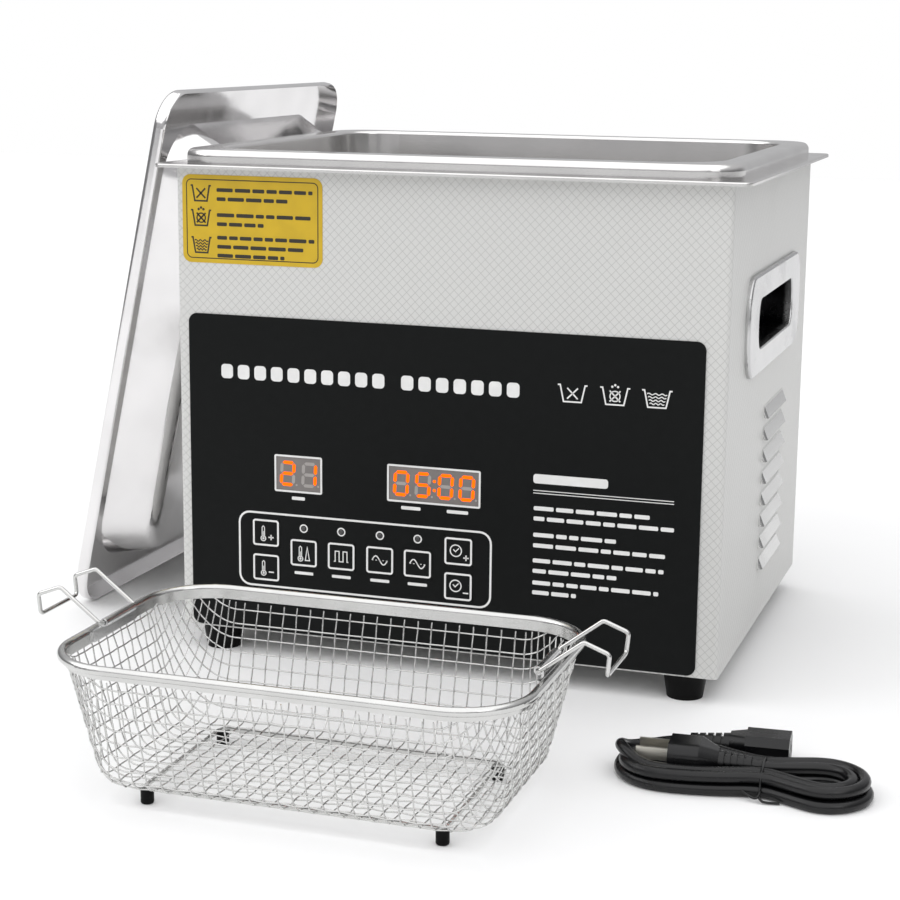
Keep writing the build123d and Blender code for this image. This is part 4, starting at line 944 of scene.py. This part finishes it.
    def displays(self) -> None:
        """Build the glowing and the dark bars of both displays."""
        figures = {"0": "abcdef", "1": "bc", "2": "abged", "5": "afgcd"}
        rows = {"display_temperature": ((-6.6, "2"), (6.6, "1")),
                "display_time": ((-19.2, "0"), (-6.4, "5"), (7.0, "0"), (19.4, "0"))}
        for window, row in rows.items():
            x, z, _, _ = self.middle(window)
            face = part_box(window)[0].y / MM
            lit, dim = FrontPrint(face, 0.06), FrontPrint(face, 0.04)
            for offset, figure in row:
                self.digit(lit, dim, x + offset, z, figures[figure])
                dim.disc(x + offset + 5.4, z - self.digit_height / 2, 0.6)
            if window == "display_time":
                for rise in (-2.6, 2.6):
                    lit.disc(x + 0.4, z + rise, 0.9)
            lit.build(f"{window}_lit", LIT_SEGMENT, "housing", Slot.DISPLAY_WINDOW)
            dim.build(f"{window}_dim", DIM_SEGMENT, "housing", Slot.DISPLAY_WINDOW)


@dataclass
class WorkingParts:
    """Transducers, heater, boards and the rear fittings."""

    def dress(self) -> None:
        """Give the working parts their finishes."""
        dress(ALUMINIUM, "transducer_horns", "heat_sink")
        dress(CERAMIC, "transducer_piezos")
        dress(COPPER, "transducer_electrodes")
        dress(DARK_STEEL, "transducer_back_masses", "transducer_bolts")
        dress(HEATER_RUBBER, "tank_heater")
        dress(BRASS, "temperature_sensor", "drain_fitting")
        dress(PLATED_BRASS, "drain_valve", "drain_nozzle", "drain_ball", "inlet_pins", "lead_pins")
        dress(BOARD, "generator_board")
        dress(COPPER, "transformer")
        dress(SLEEVE, "capacitors")
        dress(BLACK_PLASTIC, "fan_frame", "fan_rotor", "power_inlet", "rocker_bezel", "fuse_holder")
        dress(WIRE_STEEL, "fan_guard")
        dress(ROCKER_RED, "power_rocker", "drain_lever")


@dataclass
class Lid:
    """The dished lid that leans on the left side of the bath."""

    def dress(self) -> None:
        """Give the lid and its strap handle their finishes."""
        dress(LID_STEEL, "lid_pan", "lid_handle")


@dataclass
class Basket:
    """The pressed wire basket with its rim, feet and swing handles."""

    pitch: float = 7.3 * MM
    wire: float = 0.76 * MM
    weave: float = 0.34 * MM
    draft: float = math.radians(14)
    floor_corner: float = 21.0 * MM
    fold: float = 13.0 * MM
    tuck: float = 1.4 * MM
    steps_per_pitch: int = 2

    def dress(self) -> None:
        """Give the rim, feet and handles their finishes."""
        dress(WIRE_STEEL, "basket_rim", "basket_support", "basket_handle_right", "basket_handle_left")
        dress(PLATE_STEEL, "basket_end_plates")
        dress(FOOT_RUBBER, "basket_caps")

    def pressed(self, s: float, t: float, half: Vector, lift: float) -> tuple[Vector, float]:
        """Carry a point of the flat mesh sheet onto the pressed basket.

        Args:
            s: Place along the sheet, from its middle.
            t: Place across the sheet, from its middle.
            half: Half length and half width of the floor.
            lift: Distance off the sheet, inward or up.

        Returns:
            The place from the middle of the floor and the height of the wall there.
        """
        corner = self.floor_corner
        over = Vector((abs(s) - half.x + corner, abs(t) - half.y + corner))
        if over.x > 0 and over.y > 0:
            out, beyond = over.normalized(), over.length - corner
        elif over.x > over.y:
            out, beyond = Vector((1.0, 0.0)), over.x - corner
        else:
            out, beyond = Vector((0.0, 1.0)), over.y - corner
        out = Vector((out.x * math.copysign(1, s), out.y * math.copysign(1, t)))
        lean = math.pi / 2 - self.draft
        lead_in = self.fold * math.tan(lean / 2)
        run = beyond + lead_in
        if run <= 0:
            return Vector((s, t, lift)), 0.0
        bend = min(run / self.fold, lean)
        straight = max(0.0, run - self.fold * lean)
        across = self.fold * math.sin(bend) + straight * math.cos(lean) - lead_in
        rise = self.fold * (1 - math.cos(bend)) + straight * math.sin(lean)
        foot = Vector((s, t)) - out * beyond
        spot = foot + out * (across - lift * math.sin(bend))
        return Vector((spot.x, spot.y, rise + lift * math.cos(bend))), rise

    def strand(self, fixed: float, along_x: bool, index: int, half: Vector, top: float) -> list[Vector]:
        """Return one woven wire's points.

        Args:
            fixed: The wire's place across its own direction on the flat sheet.
            along_x: Whether the wire runs along the basket.
            index: Number of the wire, for the weave.
            half: Half length and half width of the floor.
            top: Height where the wire ends.

        Returns:
            The points from the middle of the floor, or none for a wire above the rim.
        """
        reach = int((max(half) + top * 1.2) / self.pitch) * self.steps_per_pitch
        points = []
        for step in range(-reach, reach + 1):
            place = step * self.pitch / self.steps_per_pitch
            crossing = step % self.steps_per_pitch == 0
            side = 1 if (index + step // self.steps_per_pitch) % 2 == 0 else -1
            lift = self.weave * side * (1 if along_x else -1) if crossing else 0.0
            spot, rise = self.pressed(*((place, fixed) if along_x else (fixed, place)), half, lift)
            if rise <= top:
                points.append(spot)
        return points

    def mesh(self) -> None:
        """Weave the basket's wire mesh and let it stand for the plain tray."""
        low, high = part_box("basket_tray")
        middle = (low + high) / 2
        shrink = (high.z - low.z) * math.tan(self.draft)
        half = Vector(((high.x - low.x) / 2 - shrink, (high.y - low.y) / 2 - shrink))
        floor_z = low.z + self.wire
        foot = Vector((middle.x, middle.y, floor_z))
        top = high.z - floor_z + self.tuck
        curve = round_curve("basket_mesh", self.wire / 2, 1)
        for along_x, extent in ((True, half.y), (False, half.x)):
            count = int((extent + top) / self.pitch)
            for index in range(-count, count + 1):
                points = self.strand(index * self.pitch, along_x, index, half, top)
                if len(points) >= 3:
                    thread(curve, [spot + foot for spot in points], "POLY")
        piece = settle(bpy.data.objects.new("basket_mesh", curve), WIRE_STEEL, "basket")
        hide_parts("basket_tray")


@dataclass
class PowerLead:
    """The mains lead, folded into a tied hank, with its plug and connector."""

    origin: Flat = (196.0, -246.0)
    turn: float = math.radians(4)
    diameter: float = 6.0
    length: float = 1.1
    exit_u: float = -32.0
    connector_v: float = 36.5
    plug_u: float = 2.0
    plug_v: float = 5.0
    left_u: float = -38.0
    right_u: float = 36.0
    tie_u: float = 8.0
    tie_wire: float = 0.65
    low: float = 3.0
    high: float = 9.1
    fold_steps: int = 6

    def place(self, u: float, v: float, z: float) -> Vector:
        """Return a point of the lead's own axes as a place in the frame, in metres."""
        x = self.origin[0] + u * math.cos(self.turn) - v * math.sin(self.turn)
        y = self.origin[1] + u * math.sin(self.turn) + v * math.cos(self.turn)
        return Vector((x, y, z)) * MM

    def fold(self, side: int, upper: float, lower: float, reach: float, levels: Flat, hump: float
             ) -> list[tuple[float, float, float]]:
        """Return a half turn round one end of the hank.

        Args:
            side: -1 for the left end, from its upper side down, or 1 for the right end, up.
            upper: Edge of the turn on the far side.
            lower: Edge of the turn on the near side.
            reach: How far the turn goes past the end's centre.
            levels: Height at the start and at the end of the turn.
            hump: Extra height in the second half, where the turn crosses another.

        Returns:
            Points in the lead's own axes.
        """
        centre_u = self.left_u if side < 0 else self.right_u
        middle, half = (upper + lower) / 2, (upper - lower) / 2
        points = []
        for step in range(self.fold_steps + 1):
            share = step / self.fold_steps
            angle = math.pi * (0.5 - share) * side
            height = levels[0] + (levels[1] - levels[0]) * min(1.0, 2 * share)
            height += hump * max(0.0, math.sin(2 * math.pi * (share - 0.35))) if share > 0.35 else 0.0
            points.append((centre_u + side * reach * abs(math.cos(angle)),
                           middle - side * half * math.cos(math.pi * share), height))
        return points

    def route(self) -> list[Vector]:
        """Return the control points of the whole lead, from the connector to the plug."""
        low, high = self.low, self.high
        # upper edge, lower edge, reach, start and end level, hump of each left turn
        left = ((self.connector_v, -16.8, 26.0, (7.6, low), 0.0), (20.7, -10.4, 20.2, (low, low), 0.0),
                (20.7, -16.6, 22.4, (high, high), 0.0), (27.2, -10.5, 25.6, (high, high), 5.8))
        # half width and reach of each right turn, its middle and its level
        right = ((22.5, 22.8, -2.0, low), (16.2, 16.4, -2.4, low), (20.8, 21.2, -1.4, high),
                 (14.6, 15.2, -2.2, high))
        tie_low = (-9.7, -3.3, -8.4, -2.0)
        tie_high = (9.7, 3.1, 11.4, self.plug_v)
        points = [(self.exit_u, self.connector_v, 8.0)]
        for number, (upper, lower, reach, levels, hump) in enumerate(left):
            half, span, middle, level = right[number]
            points += self.fold(-1, upper, lower, reach, levels, hump)
            points.append((-14.0, lower * 0.75 + tie_low[number] * 0.25, levels[1]))
            points.append((self.tie_u, tie_low[number], level + 0.3))
            points.append((22.0, (tie_low[number] + middle - half) / 2, level))
            points += self.fold(1, middle + half, middle - half, span, (level, level), 0.0)
            points.append((22.0, (tie_high[number] + middle + half) / 2, level))
            points.append((self.tie_u, tie_high[number], level + 0.3))
            if number + 1 < len(left):
                goal = left[number + 1]
                points.append((-8.0, 0.55 * tie_high[number] + 0.45 * goal[0], goal[3][0]))
                points.append((-22.0, goal[0] - 0.6, goal[3][0]))
        points.append((self.plug_u, self.plug_v, 10.0))
        return [self.place(*point) for point in points]

    def lay(self) -> bpy.types.Object:
        """Build the cord on one smooth spline and return it."""
        curve = round_curve("power_cord", self.diameter / 2 * MM, 6)
        curve.resolution_u = 8
        thread(curve, self.route(), "NURBS")
        return settle(bpy.data.objects.new("power_cord", curve), CORD_RUBBER, "power_lead")

    def tie(self) -> bpy.types.Object:
        """Build the twist tie round the waist of the hank, with its two tails, and return it."""
        near, far, top = -13.4, 15.2, 2 * self.high - self.low - 2.0
        mid = self.tie_u
        band = [(mid, near - 0.4, 5.0), (mid, near, 10.0), (mid, near + 4, top - 0.6), (mid, 0.0, top),
                (mid, far - 4, top - 0.4), (mid, far, 10.0), (mid, far, 4.0), (mid, far - 3, 0.7),
                (mid, 0.0, 0.66), (mid, near + 3, 0.66), (mid, near, 2.4), (mid, near - 0.6, 5.4)]
        left_tail = [(mid, near - 0.4, 5.0), (mid + 0.5, near - 3, 4.4), (mid - 1, near - 6, 2.2),
                     (mid - 4.5, near - 4.5, 2.6), (mid - 8.5, near - 1.8, 4.2)]
        right_tail = [(mid, near - 0.6, 5.4), (mid - 0.5, near - 3, 3.6), (mid + 1, near - 6.6, 1.4),
                      (mid + 5, near - 6.2, 0.9), (mid + 10, near - 5.6, 1.0)]
        curve = round_curve("twist_tie", self.tie_wire * MM, 3)
        for points in (band, left_tail, right_tail):
            thread(curve, [self.place(*point) for point in points], "NURBS")
        return settle(bpy.data.objects.new("twist_tie", curve), CORD_RUBBER, "power_lead")

    def build(self) -> None:
        dress(CORD_RUBBER, "lead_plug", "lead_connector")
        cord, tie = self.lay(), self.tie()
        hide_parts("lead_hank")
        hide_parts("lead_tie")


@dataclass
class Studio:
    """The floor, the soft lights and the camera."""

    eye: tuple[float, float, float] = (0.34825, -1.172, 0.35825)
    yaw: float = math.radians(-18.24)
    pitch: float = math.radians(11.72)
    roll: float = math.radians(0.578)
    lens: float = 80.79
    floor_half: float = 4.0
    ceiling: float = 2.1
    ceiling_spread: float = math.radians(115)
    wall: Colour = (0.5, 0.5, 0.51)
    sky: Colour = (0.64, 0.64, 0.65)
    flag: Colour = (0.22, 0.22, 0.225)

    def floor(self) -> None:
        """Lay the plain pale floor."""
        mesh = bmesh.new()
        corners = ((-1, -1), (1, -1), (1, 1), (-1, 1))
        mesh.faces.new([mesh.verts.new((x * self.floor_half, y * self.floor_half, 0.0)) for x, y in corners])
        data = bpy.data.meshes.new("floor")
        mesh.to_mesh(data)
        mesh.free()
        floor = bpy.data.objects.new("floor", data)
        bpy.context.scene.collection.objects.link(floor)
        data.materials.append(FLOOR_PAPER.material())

    def soft_light(self, name: str, place: tuple[float, float, float], aim: tuple[float, float, float],
                   size: Flat, power: float) -> None:
        """Hang one soft box.

        Args:
            name: The light's name.
            place: Where it hangs.
            aim: The point that it faces.
            size: Its width and height.
            power: Its power in watts.
        """
        data = bpy.data.lights.new(name, "AREA")
        data.shape = "RECTANGLE"
        data.size, data.size_y = size
        data.energy = power
        light = bpy.data.objects.new(name, data)
        light.location = place
        light.rotation_euler = (Vector(aim) - Vector(place)).to_track_quat("-Z", "Y").to_euler()
        bpy.context.scene.collection.objects.link(light)

    def lights(self) -> None:
        """Hang the two soft boxes and the wide light of the ceiling."""
        middle = (0.0, 0.0, 0.12)
        self.soft_light("key_box", (-1.9, -1.0, 1.5), middle, (1.5, 1.0), 6.0)
        self.soft_light("fill_box", (1.9, -1.6, 1.2), middle, (1.0, 1.4), 4.5)
        data = bpy.data.lights.new("ceiling", "SUN")
        data.energy = self.ceiling
        data.angle = self.ceiling_spread
        ceiling = bpy.data.objects.new("ceiling", data)
        ceiling.rotation_euler = (math.radians(18), math.radians(-8), 0.0)
        bpy.context.scene.collection.objects.link(ceiling)

    def room(self) -> None:
        """Set the room's walls, sky and dark side screens, with a white backdrop for the view."""
        world = bpy.data.worlds.new("room")
        world.use_nodes = True
        graph = Graph(world.node_tree)
        toward = graph.add("ShaderNodeTexCoord").outputs["Generated"]
        parts = graph.add("ShaderNodeSeparateXYZ", {0: toward}).outputs
        walls = graph.blend(graph.remap(parts["Z"], 0.05, 0.75, 0.0, 1.0), self.wall, self.sky)
        sideways = graph.remap(graph.math("ABSOLUTE", parts["X"]), 0.35, 0.75, 0.0, 1.0)
        dark = graph.math("MULTIPLY", sideways, graph.remap(parts["Z"], 0.1, 0.55, 1.0, 0.0))
        room = graph.blend(dark, walls, self.flag)
        seen = graph.blend(graph.add("ShaderNodeLightPath").outputs["Is Camera Ray"], room, (1.0, 1.0, 1.0))
        back = world.node_tree.nodes["Background"]
        world.node_tree.links.new(seen, back.inputs["Color"])
        bpy.context.scene.world = world
        bpy.context.scene.view_settings.view_transform = "Standard"

    def camera(self) -> None:
        """Set up the camera at the product view."""
        ahead = math.cos(self.pitch)
        forward = Vector((math.sin(self.yaw) * ahead, math.cos(self.yaw) * ahead, -math.sin(self.pitch)))
        level = Vector((math.cos(self.yaw), -math.sin(self.yaw), 0.0))
        upright = level.cross(forward)
        right = level * math.cos(self.roll) + upright * math.sin(self.roll)
        up = upright * math.cos(self.roll) - level * math.sin(self.roll)
        data = bpy.data.cameras.new("view")
        data.lens = self.lens
        data.sensor_width = 36.0
        view = bpy.data.objects.new("view", data)
        axes = Matrix((right, up, -forward)).transposed()
        view.matrix_world = Matrix.Translation(self.eye) @ axes.to_4x4()
        bpy.context.scene.collection.objects.link(view)
        bpy.context.scene.camera = view


def main() -> None:
    """Build every sub-assembly in order."""
    logging.basicConfig(level=logging.INFO, format="%(name)s: %(message)s")
    studio = Studio()
    studio.camera()
    PowerLead().build()
    housing = Housing()
    housing.dress()
    housing.caution_plate()
    panel = ControlPanel()
    panel.dress()
    panel.print_panel()
    for node in panel.keys():
        panel.key_print(node)
    panel.displays()
    WorkingParts().dress()
    Lid().dress()
    basket = Basket()
    basket.dress()
    basket.mesh()
    studio.floor()
    studio.lights()
    studio.room()


if __name__ == "__main__":
    main()
